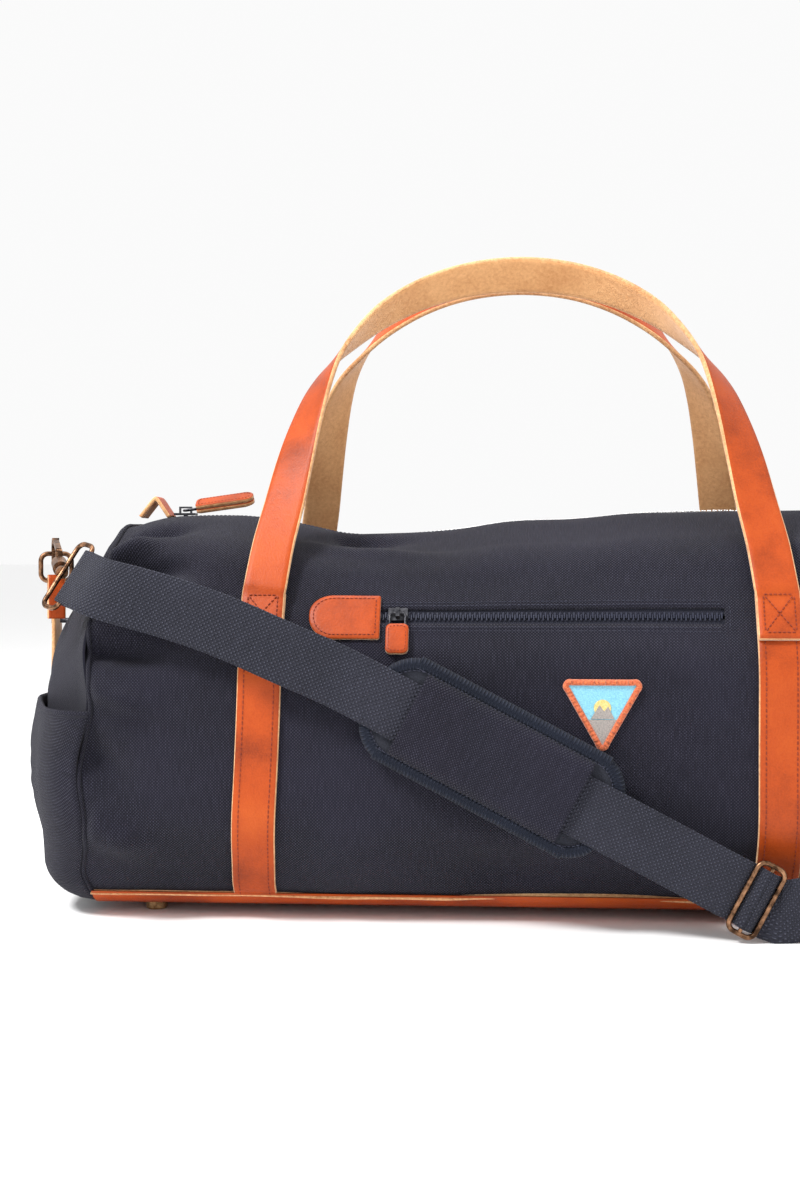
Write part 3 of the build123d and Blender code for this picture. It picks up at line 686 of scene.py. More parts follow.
for side, face in SIDES:
    for end, word in ENDS:
        x = end * BAND_X
        s = np.linspace(S_BAND_TOP, S_BAND_END, int((S_BAND_END - S_BAND_TOP) / 3))
        centre = on_band(x, s, side, BAND_T / 2 + BAND_GAP)
        band, _ = strap(f"{face}_{word}_leather_band", centre, (-side, 0, 0), BAND_W, BAND_T, HIDE, 0.6)
        finish_piece(band, "bag", "leather", f"{face}_{word}_band")
        rows = [(on_band(x, S_BAND_THREAD, side, 2.95, off), skin_normal(x, S_BAND_THREAD, side))
                for off in (-BAND_W / 2 + 4.2, BAND_W / 2 - 4.2)]
        thread = stitches(f"{face}_{word}_band_stitches", rows, THREAD)
        finish_piece(thread, "bag", "leather")

# the base keeps its CAD tray; along each long side a pale strip on the lip's top stands for its raw edge and
# a painted highlight on that edge
S_RIM = s_at_z(LIP_Z + 0.3)
for side, face in SIDES:
    xs = np.linspace(-269, 269, 150)
    rim, _ = strap(f"{face}_base_edge_and_highlight", skin(xs, S_RIM, side, 1.7), skin_normal(xs, S_RIM, side), 3.4, 1.4,
                   [EDGE] * 3, 0.4)
    finish_piece(rim, "bag", "leather")


# ---- handles ---------------------------------------------------------------
LEAN = math.radians(29.5)
HINGE_Y, HINGE_Z = 134.0, 209.0
HANDLE_W, HANDLE_T = 27.0, 3.2
# half the handle, as (x, distance up its leaning plane, turn of its face in degrees)
HANDLE_HALF = [(-157, 3, 0), (-154, 32, 4), (-149, 62, 10), (-144, 95, 20), (-139, 122, 32),
               (-132, 150, 46), (-123, 172, 62), (-109, 192, 78), (-90, 212, 92), (-64, 229, 101),
               (-34, 240, 107), (0, 244, 110)]
S_FOOT_LOW, S_FOOT_HIGH = s_at_z(177), s_at_z(204)


def handle_route():
    """Centre points and facing directions of the front handle, sewn foot to sewn foot."""
    plane_up = np.array([0, math.sin(LEAN), math.cos(LEAN)])
    plane_out = np.array([0, -math.cos(LEAN), math.sin(LEAN)])
    origin = np.array([0, -HINGE_Y, HINGE_Z])
    route = HANDLE_HALF + [(-x, up, turn) for x, up, turn in reversed(HANDLE_HALF[:-1])]
    points = [origin + np.array([x, 0, 0]) + plane_up * up for x, up, _ in route]
    foot = [skin(-BAND_X, s, -1, 4.9) for s in np.linspace(S_FOOT_LOW, S_FOOT_HIGH, 4)]
    far = [p * np.array([-1, 1, 1]) for p in foot][::-1]
    turns = [0] * 4 + [t for _, _, t in route] + [0] * 4
    centre = np.array([*foot, *points, *far])
    fine = smooth_curve(np.column_stack([centre, turns]), 260)
    centre, turns = fine[:, :3], np.radians(fine[:, 3])
    along = tangents(centre)
    sideways = normalize(np.cross(plane_out, along))
    facet = skin_normal(0.0, S_FOOT_HIGH, -1)
    low = np.clip((214 - centre[:, 2]) / 12, 0, 1)[:, None]
    base_out = normalize(plane_out * (1 - low) + facet * low)
    facing = base_out * np.cos(turns)[:, None] + sideways * np.sin(turns)[:, None]
    return centre, normalize(np.cross(facing, along))


HANDLE_CENTRE, HANDLE_ACROSS = handle_route()
FLIP = np.array([1.0, -1.0, 1.0])
BEND_Y, BEND_Z = 133.0, (200.0, 217.0)      # the line above its sewn feet where a real handle bends; the points worked out from it are not used


FOOT_BOX_HALF, FOOT_THREAD_LIFT = 9.3, 6.75


def foot_box(side):
    """Thread lines of the boxes and crosses on one handle's two sewn feet."""
    rows = []
    for x in (-BAND_X, BAND_X):
        low, high = (x - FOOT_BOX_HALF, S_FOOT_LOW - 4), (x + FOOT_BOX_HALF, S_FOOT_HIGH + 1)
        corners = np.array([low, (high[0], low[1]), high, (low[0], high[1])])
        for a, b in ((0, 1), (1, 2), (2, 3), (3, 0), (0, 2), (1, 3)):
            xs, ss = np.linspace(corners[a], corners[b], 14).T
            path = skin(x, ss, side, FOOT_THREAD_LIFT)
            path[:, 0] = xs
            rows.append((path, skin_normal(xs, ss, side)))
    return rows


for side, face in SIDES:
    centre = HANDLE_CENTRE * (1 if side < 0 else FLIP)
    across = HANDLE_ACROSS * (1 if side < 0 else -FLIP)
    handle, _ = strap(f"{face}_leather_handle", centre, across, HANDLE_W, HANDLE_T, HIDE, 0.8)
    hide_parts(f"{face}_handle")
    start, end = [at([0, side * BEND_Y, z]) for z in BEND_Z]
    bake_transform(handle)
    thread = stitches(f"{face}_handle_feet_stitches", foot_box(side), THREAD, 2.9, 2.1, 0.34)
    finish_piece(thread, "bag", "leather")


# ---- zips ------------------------------------------------------------------
def bricks(name, centres, half_axes, material):
    """Many small bevelled blocks in one mesh, all with the same three half axes."""
    a, b, c = np.array(half_axes)
    verts, faces = [], []
    for base, centre in zip(range(0, 16 * len(centres), 16), centres):
        for k, grow in ((-1, 0.72), (-0.6, 1), (0.6, 1), (1, 0.72)):
            for i, j in ((-1, -1), (1, -1), (1, 1), (-1, 1)):
                verts.append(centre + a * i * grow + b * j * grow + c * k)
        faces += grid_faces(4, 4, wrap_cols=True, start=base)
        faces.append(tuple(range(base, base + 4)))
        faces.append(tuple(reversed(range(base + 12, base + 16))))
    return make_object(name, np.array(verts), faces, [material], smooth=False)


MAIN_HALF = 258.0
# how far the teeth are raised or lowered along the bag, to suit the slider at both ends
ZIP_LIFT_X, ZIP_LIFT = zip((-270, -2.6), (-232, -2.6), (-190, -1.6), (-60, -0.6), (0, 0.9), (145, 0.9),
                           (176, -2.6), (270, -2.6))


def zip_line(x):
    """Height of the main zip's teeth over the sagging top."""
    return TOP_Z + sag_at(x) + np.interp(x, ZIP_LIFT_X, ZIP_LIFT)


def staggered(low, high, pitch):
    """Places along a zip, each with the side that its tooth stands on."""
    return [(x, -1 if i % 2 else 1) for i, x in enumerate(np.arange(low, high, pitch))]


teeth = [(x, side * 1.35, float(zip_line(x))) for x, side in staggered(-MAIN_HALF + 6, MAIN_HALF - 6, 1.9)]
teeth = bricks("main_zip_metal_teeth", np.array(teeth), np.diag([0.62, 1.9, 1.05]), SILVER)
finish_piece(teeth, "bag", "zip_metal", "main_zip_teeth")
for side, face in SIDES:
    xs = np.linspace(-MAIN_HALF + 2, MAIN_HALF - 2, 220)
    inner = np.stack([xs, np.full(220, side * 1.6), zip_line(xs) - 0.2], axis=1)
    outer = np.stack([xs, np.full(220, side * 12.0), TOP_Z + sag_at(xs) - 2.4], axis=1)
    tape, _ = strap(f"main_zip_{face}_cloth_tape", (inner + outer) / 2, (outer - inner) * -side, 10.6, 0.7,
                    [TAPE] * 3, 0.2)
    finish_piece(tape, "bag", "zip_tape", f"main_zip_tape_{face}")

# front zip: moulded teeth on a tape, sunk a little in its slot
TAPE_NEAR, TAPE_FAR, TAPE_LIFT = 1.2, 6.6, -2.6     # from the teeth's line, and below the canvas
xs = np.linspace(SLOT[0] + 0.5, SLOT[1] + 2, 120)
for word, s0, s1 in (("upper", ZIP_S - TAPE_FAR, ZIP_S - TAPE_NEAR),
                     ("lower", ZIP_S + TAPE_NEAR, ZIP_S + TAPE_FAR)):
    edge = skin(xs, s1, -1, TAPE_LIFT) - skin(xs, s0, -1, TAPE_LIFT)
    centre = skin(xs, (s0 + s1) / 2, -1, TAPE_LIFT)
    tape, _ = strap(f"front_zip_{word}_cloth_tape", centre, edge, s1 - s0, 0.8, [TAPE] * 3, 0.3)
    finish_piece(tape, "bag", "zip_tape", *(["front_zip_tapes"] if word == "upper" else []))
slope = normalize(skin(0.0, ZIP_S + 4, -1) - skin(0.0, ZIP_S - 4, -1))
teeth = [skin(x, ZIP_S, -1, -1.5) + slope * side * 0.75
         for x, side in staggered(SLOT[0] + 3, SLOT[1] - 0.5, 1.45)]
teeth = bricks("front_zip_moulded_teeth", teeth,
               [(0.50, 0, 0), slope * 2.0, skin_normal(0.0, ZIP_S, -1) * 0.95], ZIP_PLASTIC)
finish_piece(teeth, "bag", "zip_plastic", "front_zip_teeth")


def run_on_skin(points, side, lift):
    """A thread line on the skin through (x, s) points."""
    fine = smooth_curve([(x, s, 0) for x, s in points], 60 if len(points) < 6 else 160)
    return skin(fine[:, 0], fine[:, 1], side, lift), skin_normal(fine[:, 0], fine[:, 1], side)


SEW_LIFT = 0.12
rows = []
for off in (8.0, 10.6):
    for s in (ZIP_S - off, ZIP_S + off):
        rows.append(run_on_skin([(-86, s), (20, s), (126, s)], -1, SEW_LIFT))
rows.append(run_on_skin([(128.6, ZIP_S - 8), (129.4, ZIP_S), (128.6, ZIP_S + 8)], -1, SEW_LIFT))
for side in (-1, 1):
    for s in (13.5, 16.0):
        rows.append(run_on_skin([(x, s) for x in range(-262, 263, 40)], side, SEW_LIFT))
finish_piece(stitches("zip_topstitching", rows, NAVY_THREAD, 2.9, 2.2, 0.24), "bag", "canvas")


# ---- leather tabs and pulls ------------------------------------------------
def slab(name, shape, place, thickness, materials, dome_up=0.0):
    """A flat piece cut to an outline in mm, with a softly rounded face.

    place(u, v, w) turns outline coordinates and height into bag coordinates."""
    ring = np.asarray(shape, float)
    middle = ring.mean(axis=0)
    half, n = thickness / 2, len(ring)
    # each ring's scale, height and the material of the faces below it
    rings = [(0.94, -half, 1), (1.0, -half + 0.4, 2), (1.0, half - 0.5, 2), (0.965, half, 0),
             (0.75, half + dome_up * 0.6, 0), (0.4, half + dome_up, 0), (0.02, half + dome_up, 0)]
    verts = [place(*(middle + (point - middle) * scale_by), w) for scale_by, w, _ in rings for point in ring]
    faces, kinds = [], []
    for i, (_, _, kind) in enumerate(rings[1:]):
        for j in range(n):
            faces.append((i * n + j, i * n + (j + 1) % n, (i + 1) * n + (j + 1) % n, (i + 1) * n + j))
            kinds.append(kind)
    faces += [tuple(reversed(range(n))), tuple(range(len(verts) - n, len(verts)))]
    return make_object(name, np.array(verts), faces, materials, None, kinds + [1, 0])


def sewn_outline(name, shape, place, out, body, pitch, stitch, radius):
    """A row of thread round a leather piece; place and out turn its outline into points and normals."""
    closed = shape + shape[:1]
    rows = [(np.array([place(u, v) for u, v in closed]), np.array([out(u, v) for u, v in closed]))]
    finish_piece(stitches(name, rows, THREAD, pitch, stitch, radius), body, "leather")


def rounded_rect(cx, cy, w, h, r_left, r_right, steps=10):
    """Outline of a rectangle with its left and right corners rounded, anticlockwise."""
    pts = []
    for sx, sy, r, a0 in ((1, 1, r_right, 0), (-1, 1, r_left, 90), (-1, -1, r_left, 180),
                          (1, -1, r_right, 270)):
        ox, oy = cx + sx * (w / 2 - r), cy + sy * (h / 2 - r)
        for k in range(steps + 1):
            a = math.radians(a0 + 90 * k / steps)
            pts.append((ox + r * math.cos(a), oy + r * math.sin(a)))
    return pts


def on_facet(u, v, w):
    """u along the bag, v up the front slope from the zip, w outwards."""
    return skin(u, ZIP_S - v, -1, w)


TAB_X, TAB_V = -107, -1
tab = slab("front_zip_leather_tab", rounded_rect(TAB_X, TAB_V, 44, 33, 15.4, 1.5),
           lambda u, v, w: on_facet(u, v, w + 1.7), 2.6, HIDE, 0.2)
finish_piece(tab, "bag", "leather", "front_zip_end_tab")
sewn_outline("front_zip_tab_stitches", rounded_rect(TAB_X, TAB_V, 38.6, 27.6, 12.8, 1.0),
             lambda u, v: on_facet(u, v, 3.15), lambda u, v: skin_normal(u, ZIP_S - v, -1),
             "bag", 2.7, 2.0, 0.33)

FRONT_SLIDER_X, MAIN_SLIDER_X = -74.0, -233.0
PULL_UP, PULL_OUT = np.array([0, 0.4617, 0.887]), np.array([0, -0.887, 0.4617])


def on_pull(u, v, w):
    """u along the bag, v up the front pull from its ring, w outwards."""
    return np.array([u, -135.42, ZIP_Z]) + PULL_UP * v + PULL_OUT * (w + 2.7)


FRONT_PULL_V = -17.5
front_pull = slab("front_zip_leather_pull", rounded_rect(FRONT_SLIDER_X, FRONT_PULL_V, 14, 20, 3.4, 3.4),
                  on_pull, 3.1, HIDE, 0.25)
finish_piece(front_pull, "front_pull", "leather", "front_zip_pull")
sewn_outline("front_pull_stitches", rounded_rect(FRONT_SLIDER_X, FRONT_PULL_V, 10.6, 16.4, 2.2, 2.2),
             lambda u, v: on_pull(u, v, 1.62), lambda u, v: PULL_OUT, "front_pull", 2.2, 1.6, 0.26)

TILT, ROLL = math.radians(8), math.radians(24)
MAIN_PIVOT_Z, MAIN_PULL_U = 261.4, 28.5


def on_main_pull(u, v, w):
    """u along the pull from the slider, v across it, w up; it lies rolled a little to the front."""
    v, w = v * math.cos(ROLL) - w * math.sin(ROLL), v * math.sin(ROLL) + w * math.cos(ROLL)
    lift = 1.6 + w
    return np.array([MAIN_SLIDER_X + u * math.cos(TILT) - lift * math.sin(TILT), v,
                     MAIN_PIVOT_Z + u * math.sin(TILT) + lift * math.cos(TILT)])


for word, w_mid in (("upper", 1.6), ("lower", -1.6)):
    layer = slab(f"main_pull_{word}_leather", rounded_rect(MAIN_PULL_U, 0, 41, 13.4, 3.0, 6.2),
                 lambda u, v, w, m=w_mid: on_main_pull(u, v, w + m), 3.1, [LEATHER, LEATHER, EDGE], 0.35)
    finish_piece(layer, "main_pull", "leather", *(["main_zip_pull"] if word == "upper" else []))
MAIN_PULL_OUT = on_main_pull(9, 0, 1) - on_main_pull(9, 0, 0)
sewn_outline("main_pull_stitches", rounded_rect(MAIN_PULL_U, 0, 36.6, 9.4, 1.6, 4.4),
             lambda u, v: on_main_pull(u, v, 3.3), lambda u, v: MAIN_PULL_OUT, "main_pull", 2.4, 1.8, 0.28)

# folded leather over each end of the main zip
for end, word in ENDS:
    fold = smooth_curve([(end * x, 0, z) for x, z in ((263, 256.8), (258.5, 262.5), (253.2, 268.9),
                                                      (251.2, 268.9), (247, 262.8), (243, 256.8))], 40)
    obj, _ = strap(f"{word}_zip_end_leather", fold, (0, -end, 0), 22, 2.6, HIDE, 0.6)
    finish_piece(obj, "bag", "leather", f"{word}_main_zip_end_tab")

# top canvas closing each end of the zip
for end, word in ENDS:
    xs = np.linspace(end * 256.0, end * HALF_LENGTH, 8)
    centre = np.stack([xs, 0 * xs, TOP_Z + sag_at(xs) - 0.9], axis=1)
    obj, _ = strap(f"{word}_top_canvas_bridge", centre, (0, -end, 0), 20, 1.6, [CANVAS] * 3, 0.4)
    finish_piece(obj, "bag", "canvas", *(["top_bridges"] if word == "left" else []))


# ---- end strips and ring tabs ----------------------------------------------
for end, word in ENDS:
    path = smooth_curve([(end * x, 0, z) for x, z in ((325.8, 191.5), (325.4, 176), (325.9, 152),
                                                      (326.4, 130), (325.6, 104))], 50)
    obj, out = strap(f"{word}_end_leather_strip", path, (0, end, 0), 18, 2.8, HIDE, 0.6)
    finish_piece(obj, "bag", "leather", f"{word}_end_strip")
    rows = [(path + out * 1.45 + np.array([0, edge, 0]), out) for edge in (-6.6, 6.6)]
    finish_piece(stitches(f"{word}_end_strip_stitches", rows, THREAD), "bag", "leather")

RING_TURN = math.radians(20)
RING_X, RING_Y, RING_Z = 306.0, -72.0, 213.0
# the tab's loop through its ring, seen from the end: (distance outwards, height)
RING_LOOP = [(3.0, -25), (3.1, -14), (3.0, -3), (2.2, 2.2), (0, 3.1), (-2.2, 2.2), (-3.0, -3), (-3.1, -14),
             (-3.0, -25)]
for end, word in ENDS:
    origin = np.array([end * RING_X, RING_Y, RING_Z])
    wide = np.array([math.cos(RING_TURN), -end * math.sin(RING_TURN), 0])
    face = np.array([-end * math.sin(RING_TURN), -math.cos(RING_TURN), 0])
    path = smooth_curve([origin + face * a + UP * b for a, b in RING_LOOP], 50)
    obj, _ = strap(f"{word}_ring_leather_tab", path, -wide, 11.5, 2.1, HIDE, 0.5)
    finish_piece(obj, "bag", "leather", f"{word}_d_ring_tab")


# ---- badge -----------------------------------------------------------------
def on_badge(u, v, w):
    """u along the bag, v above the ground, w outwards from the front panel."""
    return skin(u, s_at_z(v), -1, w)


def badge_polys(name, polys, materials):
    """Flat embroidered areas, each (outline, height, material index), with short sides."""
    verts, faces, kinds = [], [], []
    for ring, w, kind in polys:
        base, n = len(verts), len(ring)
        verts += [on_badge(u, v, w) for u, v in ring]
        verts += [on_badge(u, v, 0.1) for u, v in ring]
        faces.append(tuple(base + i for i in range(n)))
        kinds.append(kind)
        for i in range(n):
            j = (i + 1) % n
            faces.append((base + i, base + n + i, base + n + j, base + j))
            kinds.append(kind)
    obj = make_object(name, np.array(verts), faces, materials, None, kinds, smooth=False)
    obj.data.validate()
    return obj


disc = [(51 + 5.2 * math.cos(a), 137.5 + 5.2 * math.sin(a))
        for a in np.linspace(0, 2 * math.pi, 28, endpoint=False)]
badge = badge_polys("badge_field", [
    ([(28.5, 152.6), (51, 113), (73.5, 152.6)], 0.9, 0),
    ([(41.0, 130.6), (51, 113.2), (61.0, 130.6)], 1.15, 2),
    (disc, 1.3, 1),
    ([(44, 131.0), (49.2, 139.5), (52, 135.6), (54.4, 138.6), (58.2, 131.0)], 1.45, 2),
], [SKY, SAND, STONE])
finish_piece(badge, "bag", "patch_field", "patch_field")
corners = np.array([(27.5, 153), (74.5, 153), (51, 111.5)])
path = [on_badge(*(a + (b - a) * t), 0.9)
        for a, b in zip(corners, np.roll(corners, -1, axis=0)) for t in np.linspace(0.06, 0.94, 16)]
path = smooth_curve(path, 260, closed=True)
path[:, 1] -= 0.16 * np.sin(np.arange(260) * 2 * math.pi / 2.6)
border = tube("badge_border_cord", path, 1.9, EMBROIDERY, closed=True)
finish_piece(border, "bag", "patch_border", "patch_border")


# ---- shoulder strap --------------------------------------------------------
WEB_W, WEB_T = 38.0, 1.9
LEFT_SWIVEL = np.array([-290.0, -116.0, 218.0])
LEFT_WEB, LEFT_WIDE = np.array([0.75, -0.63, -0.18]), np.array([0.46, 0.33, 0.86])
RIGHT_HOOK = np.array([0.25, 0.76, 0.6])
RIGHT_SWIVEL = np.array([RING_X, RING_Y, 231.0]) - normalize(RIGHT_HOOK) * 54.0
RIGHT_WEB, RIGHT_WIDE = np.array([0.38, -0.5, -0.78]), np.array([-0.72, -0.66, 0.1])
ADJUSTER, STRAIGHT = np.array([141.0, -171.0, 26.0]), np.array([-105.0, -165.0, 155.0])
RUN = normalize(ADJUSTER - STRAIGHT)
WIDE = normalize(np.cross([0, -1, 0], RUN))
FACE = np.cross(RUN, WIDE)


def loop_bar(swivel, web):
    """The far wire of a rectangular loop, where the webbing turns round it."""
    return swivel + normalize(web) * 14.0


def webbing(name, stations):
    """Webbing through (centre, width direction) stations."""
    data = np.array([(*p, *normalize(np.asarray(w, float))) for p, w in stations])
    rows = smooth_curve(data, int(lengths(data)[-1] / 3.0))
    return strap(name, rows[:, :3], rows[:, 3:], WEB_W, WEB_T, [WEBBING] * 3, 0.5)[0]


def turn_round(bar, web, wide, reach=2.8):
    """Points of the webbing's turn round a wire: behind it, inside the loop, then in front."""
    run = normalize(web)
    wide = normalize(wide - run * (wide @ run))
    out = np.cross(run, wide)
    return [(bar - out * reach + run * 2.0, wide), (bar - out * reach * 0.7 - run * reach * 0.75, wide),
            (bar - run * reach * 1.05, wide), (bar + out * reach * 0.7 - run * reach * 0.75, wide),
            (bar + out * reach + run * 2.0, wide)]


def beside(along, out, wide=WIDE):
    """A station near the adjuster: so far along the run, and so far out of its plane."""
    return ADJUSTER + RUN * along + FACE * out, wide


WEAVE = 3.1     # how far the webbing steps out of its plane to pass the adjuster's wires
front = [((-256, -153.2, 209.5), (0.42, 0.2, 0.88)), ((-215, -157.6, 198.5), (0.40, 0.05, 0.91)),
         ((-180, -161, 187), (0.39, 0, 0.92)), ((-142, -164, 171), (0.42, 0, 0.9))]
front += [(STRAIGHT + RUN * along, WIDE) for along in (0, 60, 130, 200)]
front += [beside(-20, 0), beside(-9.5, -WEAVE), beside(-7.5, -WEAVE), beside(-1.0, WEAVE), beside(1.0, WEAVE)]
left_turn = turn_round(loop_bar(LEFT_SWIVEL, LEFT_WEB), LEFT_WEB, LEFT_WIDE)
shoulder_front = webbing("shoulder_webbing_front", left_turn[2:] + front)
finish_piece(shoulder_front, "shoulder_strap", "webbing", "shoulder_webbing")
back = [((-180, -158.6, 187), (0.39, 0, 0.92)), ((-215, -155.2, 198.5), (0.40, 0.05, 0.91)),
        ((-250, -151.2, 208.0), (0.42, 0.2, 0.88))]
# the short end goes the other way, so its width is turned to keep its face outwards
turnback = webbing("webbing_turned_end", [(p, -np.asarray(w, float)) for p, w in back + left_turn[:3]])
finish_piece(turnback, "shoulder_strap", "webbing", "webbing_turnback")

right_turn = turn_round(loop_bar(RIGHT_SWIVEL, RIGHT_WEB), RIGHT_WEB, RIGHT_WIDE)
tail = [beside(0.6, WEAVE - 0.1), beside(2.0, WEAVE), beside(7.5, -WEAVE), beside(9.5, -WEAVE),
        beside(16, -2.4), ((180, -168, 21.4), (0.15, 0, 1)), ((207, -170, 20.6), (0, 0, 1)),
        ((250, -171, 22), (-0.25, -0.05, 0.97)), ((291, -168, 36), (-0.6, -0.2, 0.77)),
        ((319, -159, 68), (-0.75, -0.5, 0.43)),
        ((331, -149, 106), (-0.75, -0.66, 0.05)), ((320, -137, 146), (-0.72, -0.66, -0.1))]
shoulder_tail = webbing("shoulder_webbing_tail", tail + right_turn[::-1][:3])
finish_piece(shoulder_tail, "shoulder_strap", "webbing", "webbing_tail")


# ---- shoulder pad ----------------------------------------------------------
PAD_MIDDLE = STRAIGHT + RUN * (89 / RUN[0])
PAD_L, PAD_W = 166.0, 69.0


def on_pad(u, v, w):
    """u along the strap, v across it (towards its upper edge), w outwards from the webbing."""
    return PAD_MIDDLE + RUN * u + WIDE * v + FACE * w


CLOTH_FRAMES = 20


def stuff(obj, pin_inset, cap, pressure=4.0):
    """Fills a closed cushion out with a short cloth simulation, its rim held still."""
    remesh = obj.modifiers.new("remesh", "REMESH")
    remesh.mode, remesh.voxel_size = "VOXEL", 0.0026
    depsgraph = bpy.context.evaluated_depsgraph_get()
    mesh = bpy.data.meshes.new_from_object(obj.evaluated_get(depsgraph))
    obj.modifiers.clear()
    obj.data = mesh
    count = len(mesh.vertices)
    flat = np.empty(count * 3)
    mesh.vertices.foreach_get("co", flat)
    rest = flat.reshape(-1, 3).copy()
    local = (rest - at(PAD_MIDDLE[None, :])[0]) / MM
    u, v = np.abs(local @ RUN), np.abs(local @ WIDE)
    rim = (u > PAD_L / 2 - pin_inset) | (v > PAD_W / 2 - pin_inset)
    group = obj.vertex_groups.new(name="rim")
    group.add([int(i) for i in np.where(rim)[0]], 1.0, "REPLACE")
    cloth = obj.modifiers.new("cloth", "CLOTH")
    cloth.settings.quality = 6
    cloth.settings.mass = 0.2
    cloth.settings.tension_stiffness = cloth.settings.compression_stiffness = 12
    cloth.settings.bending_stiffness = 0.6
    cloth.settings.use_pressure = True
    cloth.settings.uniform_pressure_force = pressure
    cloth.settings.vertex_group_mass = "rim"
    cloth.settings.effector_weights.gravity = 0
    cloth.point_cache.frame_start, cloth.point_cache.frame_end = 1, CLOTH_FRAMES
    for frame_number in range(1, CLOTH_FRAMES + 1):
        bpy.context.scene.frame_set(frame_number)
    depsgraph = bpy.context.evaluated_depsgraph_get()
    moved = np.empty(count * 3)
    obj.evaluated_get(depsgraph).data.vertices.foreach_get("co", moved)
    bpy.context.scene.frame_set(1)
    obj.modifiers.clear()
    delta = moved.reshape(-1, 3) - rest
    length = np.maximum(np.linalg.norm(delta, axis=1, keepdims=True), 1e-9)
    rest += delta * np.minimum(1, cap * MM / length)
    mesh.vertices.foreach_set("co", rest.ravel())
    mesh.polygons.foreach_set("use_smooth", np.ones(len(mesh.polygons), dtype=bool))
    mesh.update()
    obj.modifiers.new("smooth", "SUBSURF").render_levels = 1
    return obj


pad = slab("shoulder_pad_foam", rounded_rect(0, 0, PAD_L - 8, PAD_W - 8, 23, 23),
           lambda u, v, w: on_pad(u, v, w - 5.2), 5.6, [PAD_CLOTH], 0.5)
pad = stuff(pad, 9.0, 2.2)
finish_piece(pad, "shoulder_pad", "pad", "shoulder_pad")

ring = [on_pad(u, v, -5.0) for u, v in rounded_rect(0, 0, PAD_L - 8.4, PAD_W - 8.4, 22.8, 22.8, 14)]
ring = smooth_curve(ring, 300, closed=True)
ring = np.vstack([ring, ring[:1]])
across = normalize(np.cross(FACE, tangents(ring)))
binding, _ = strap("pad_ribbed_binding", ring, across, 8.6, 7.4, [BINDING] * 3, 2.4, 0.5)
finish_piece(binding, "shoulder_pad", "binding", "pad_binding")
outwards = np.sign(np.sum(across * (ring - on_pad(0, 0, -5.0)), axis=1))[:, None]
rows = [(ring + FACE * 4.0 - across * 3.1 * outwards, FACE)]
finish_piece(stitches("pad_binding_stitches", rows, NAVY_THREAD, 2.8, 2.1, 0.25), "shoulder_pad", "binding")

# the canvas sleeve over the webbing
SLEEVE_L, SLEEVE_W = 113.0, 52.0


def sleeve_height(u, v):
    """The sleeve's height over the webbing, rounded off at its long edges."""
    edge = np.clip((SLEEVE_W / 2 - np.abs(v)) / 6.5, 0, 1)
    rise = 1 - (1 - edge) ** 2.2
    wave = 0.30 * np.sin(u / 9.0 + 0.8 * np.sin(v / 8)) * np.sin(v / 11 + 1) + 0.18 * np.sin(u / 4.1 + v / 13)
    return -1.6 + 4.2 * rise + wave * rise


def on_sleeve(u, v, lift=0.0):
    height = sleeve_height(u, v) + lift
    return PAD_MIDDLE + u[..., None] * RUN + v[..., None] * WIDE + height[..., None] * FACE


us, vs = np.meshgrid(np.linspace(-SLEEVE_L / 2, SLEEVE_L / 2, 90),
                     np.linspace(-SLEEVE_W / 2, SLEEVE_W / 2, 44), indexing="ij")
uvs = np.stack([us.ravel() * MM, vs.ravel() * MM], axis=1)
sleeve = make_object("pad_canvas_sleeve", on_sleeve(us, vs).reshape(-1, 3),
                     [f[::-1] for f in grid_faces(90, 44)], [CANVAS], uvs)
thicken(sleeve, 1.3)
finish_piece(sleeve, "shoulder_pad", "canvas", "pad_sleeve")
across = np.linspace(-SLEEVE_W / 2 + 1, SLEEVE_W / 2 - 1, 40)
along = np.linspace(-SLEEVE_L / 2 + 1, SLEEVE_L / 2 - 1, 60)
rows = [(on_sleeve(np.full(40, end * (SLEEVE_L / 2 - inset)), across, 0.15), FACE)
        for end, inset in ((-1, 4.5), (-1, 8.5), (1, 8.5), (1, 4.5))]
rows += [(on_sleeve(along, np.full(60, side * (SLEEVE_W / 2 - 2.6)), 0.15), FACE) for side in (-1, 1)]
finish_piece(stitches("pad_sleeve_stitches", rows, NAVY_THREAD, 2.9, 2.2, 0.28), "shoulder_pad", "canvas")


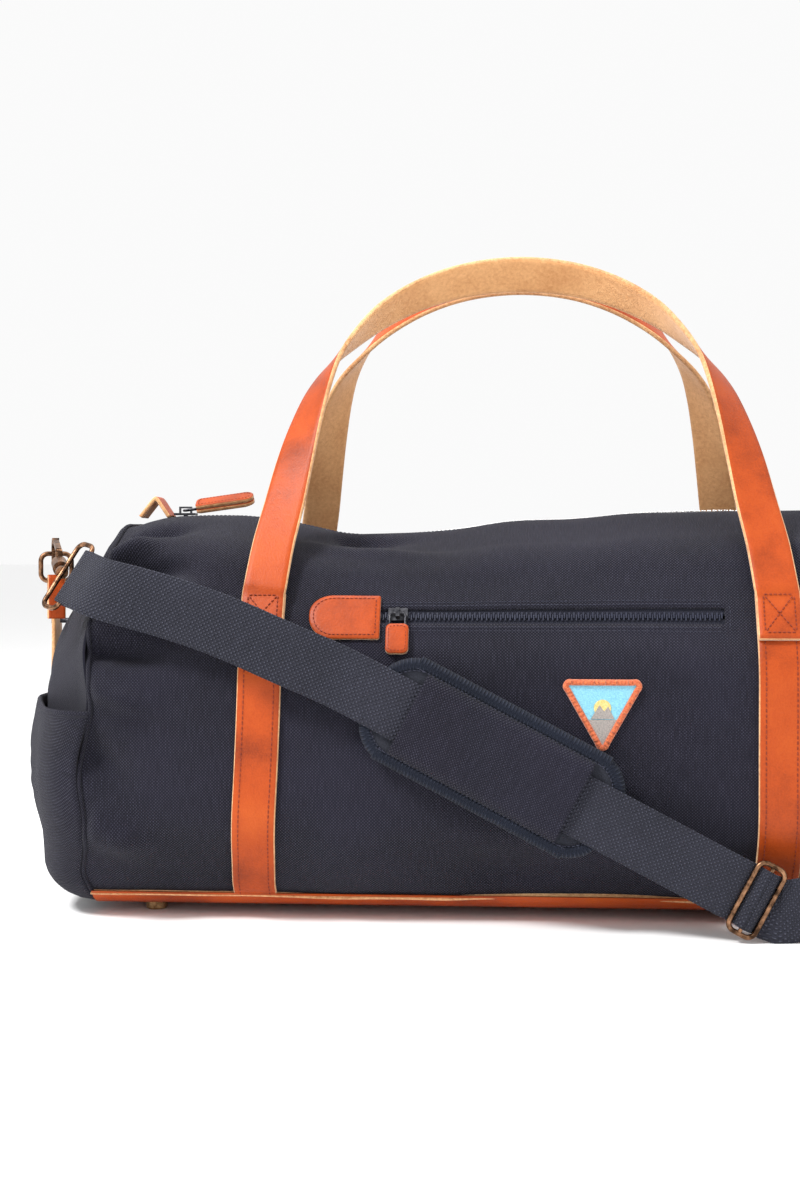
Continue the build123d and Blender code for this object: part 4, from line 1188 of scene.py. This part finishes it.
# ---- CAD parts that are kept -----------------------------------------------
KEPT = {
    COPPER: ["left_hook_body", "right_hook_body", "left_hook_gate", "right_hook_gate", "left_hook_swivel",
             "right_hook_swivel", "left_d_ring", "right_d_ring", "strap_adjuster"],
    DARK_METAL: ["left_strip_rivet", "right_strip_rivet", "main_zip_slider", "main_zip_pull_ring",
                 "front_zip_slider", "front_zip_pull_ring", "foot_washers"],
    LEATHER: ["base_leather"],
    BOARD: ["base_board", "front_pocket_lining"],
    CANVAS: ["floor_panel"],
    BRASS: ["base_feet"],
}
for mat, names in KEPT.items():
    for name in names:
        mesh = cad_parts[name].data
        mesh.materials.clear()
        mesh.materials.append(mat)


# ---- floor, light and camera -----------------------------------------------
floor_mat = Shader("studio_floor", Base_Color=(0.94, 0.94, 0.94), Roughness=0.9, Specular_IOR_Level=0.1).mat
FLOOR_HALF = 40000
grid = np.linspace(-FLOOR_HALF, FLOOR_HALF, 5)
fx, fy = np.meshgrid(grid, grid, indexing="ij")
floor = make_object("studio_floor", np.stack([fx.ravel(), fy.ravel(), 0 * fx.ravel()], axis=1),
                    [f[::-1] for f in grid_faces(5, 5)], [floor_mat])

world = bpy.data.worlds.new("studio")
bpy.context.scene.world = world
world.use_nodes = True
background = world.node_tree.nodes["Background"].inputs
background["Color"].default_value = (1, 1, 1, 1)
background["Strength"].default_value = 0.96
bpy.context.scene.view_settings.view_transform = "Standard"


def area_light(name, location, target, size, power):
    data = bpy.data.lights.new(name, "AREA")
    data.shape, data.size, data.energy = "DISK", size, power
    obj = bpy.data.objects.new(name, data)
    obj.location = location
    obj.rotation_euler = (Vector(target) - Vector(location)).to_track_quat("-Z", "Y").to_euler()
    bpy.context.scene.collection.objects.link(obj)


centre = (MID_X, MID_Y, 0.16)
area_light("key", (MID_X - 1.1, MID_Y - 0.9, 1.6), centre, 0.45, 40)
area_light("fill", (MID_X + 1.5, MID_Y - 1.2, 0.9), centre, 1.4, 6)
area_light("top", (MID_X, MID_Y + 0.3, 2.0), centre, 1.0, 18)

camera_data = bpy.data.cameras.new("camera")
camera_data.lens, camera_data.sensor_width, camera_data.clip_end = 51.33, 36.0, 100.0
camera = bpy.data.objects.new("camera", camera_data)
camera.location = (MID_X, MID_Y - 1.19, 0.230)
YAW, PITCH = math.radians(3.95), math.radians(1.5)
aim = Vector((-math.sin(YAW) * math.cos(PITCH), math.cos(YAW) * math.cos(PITCH), -math.sin(PITCH)))
camera.rotation_euler = aim.to_track_quat("-Z", "Y").to_euler()
bpy.context.scene.collection.objects.link(camera)
bpy.context.scene.camera = camera
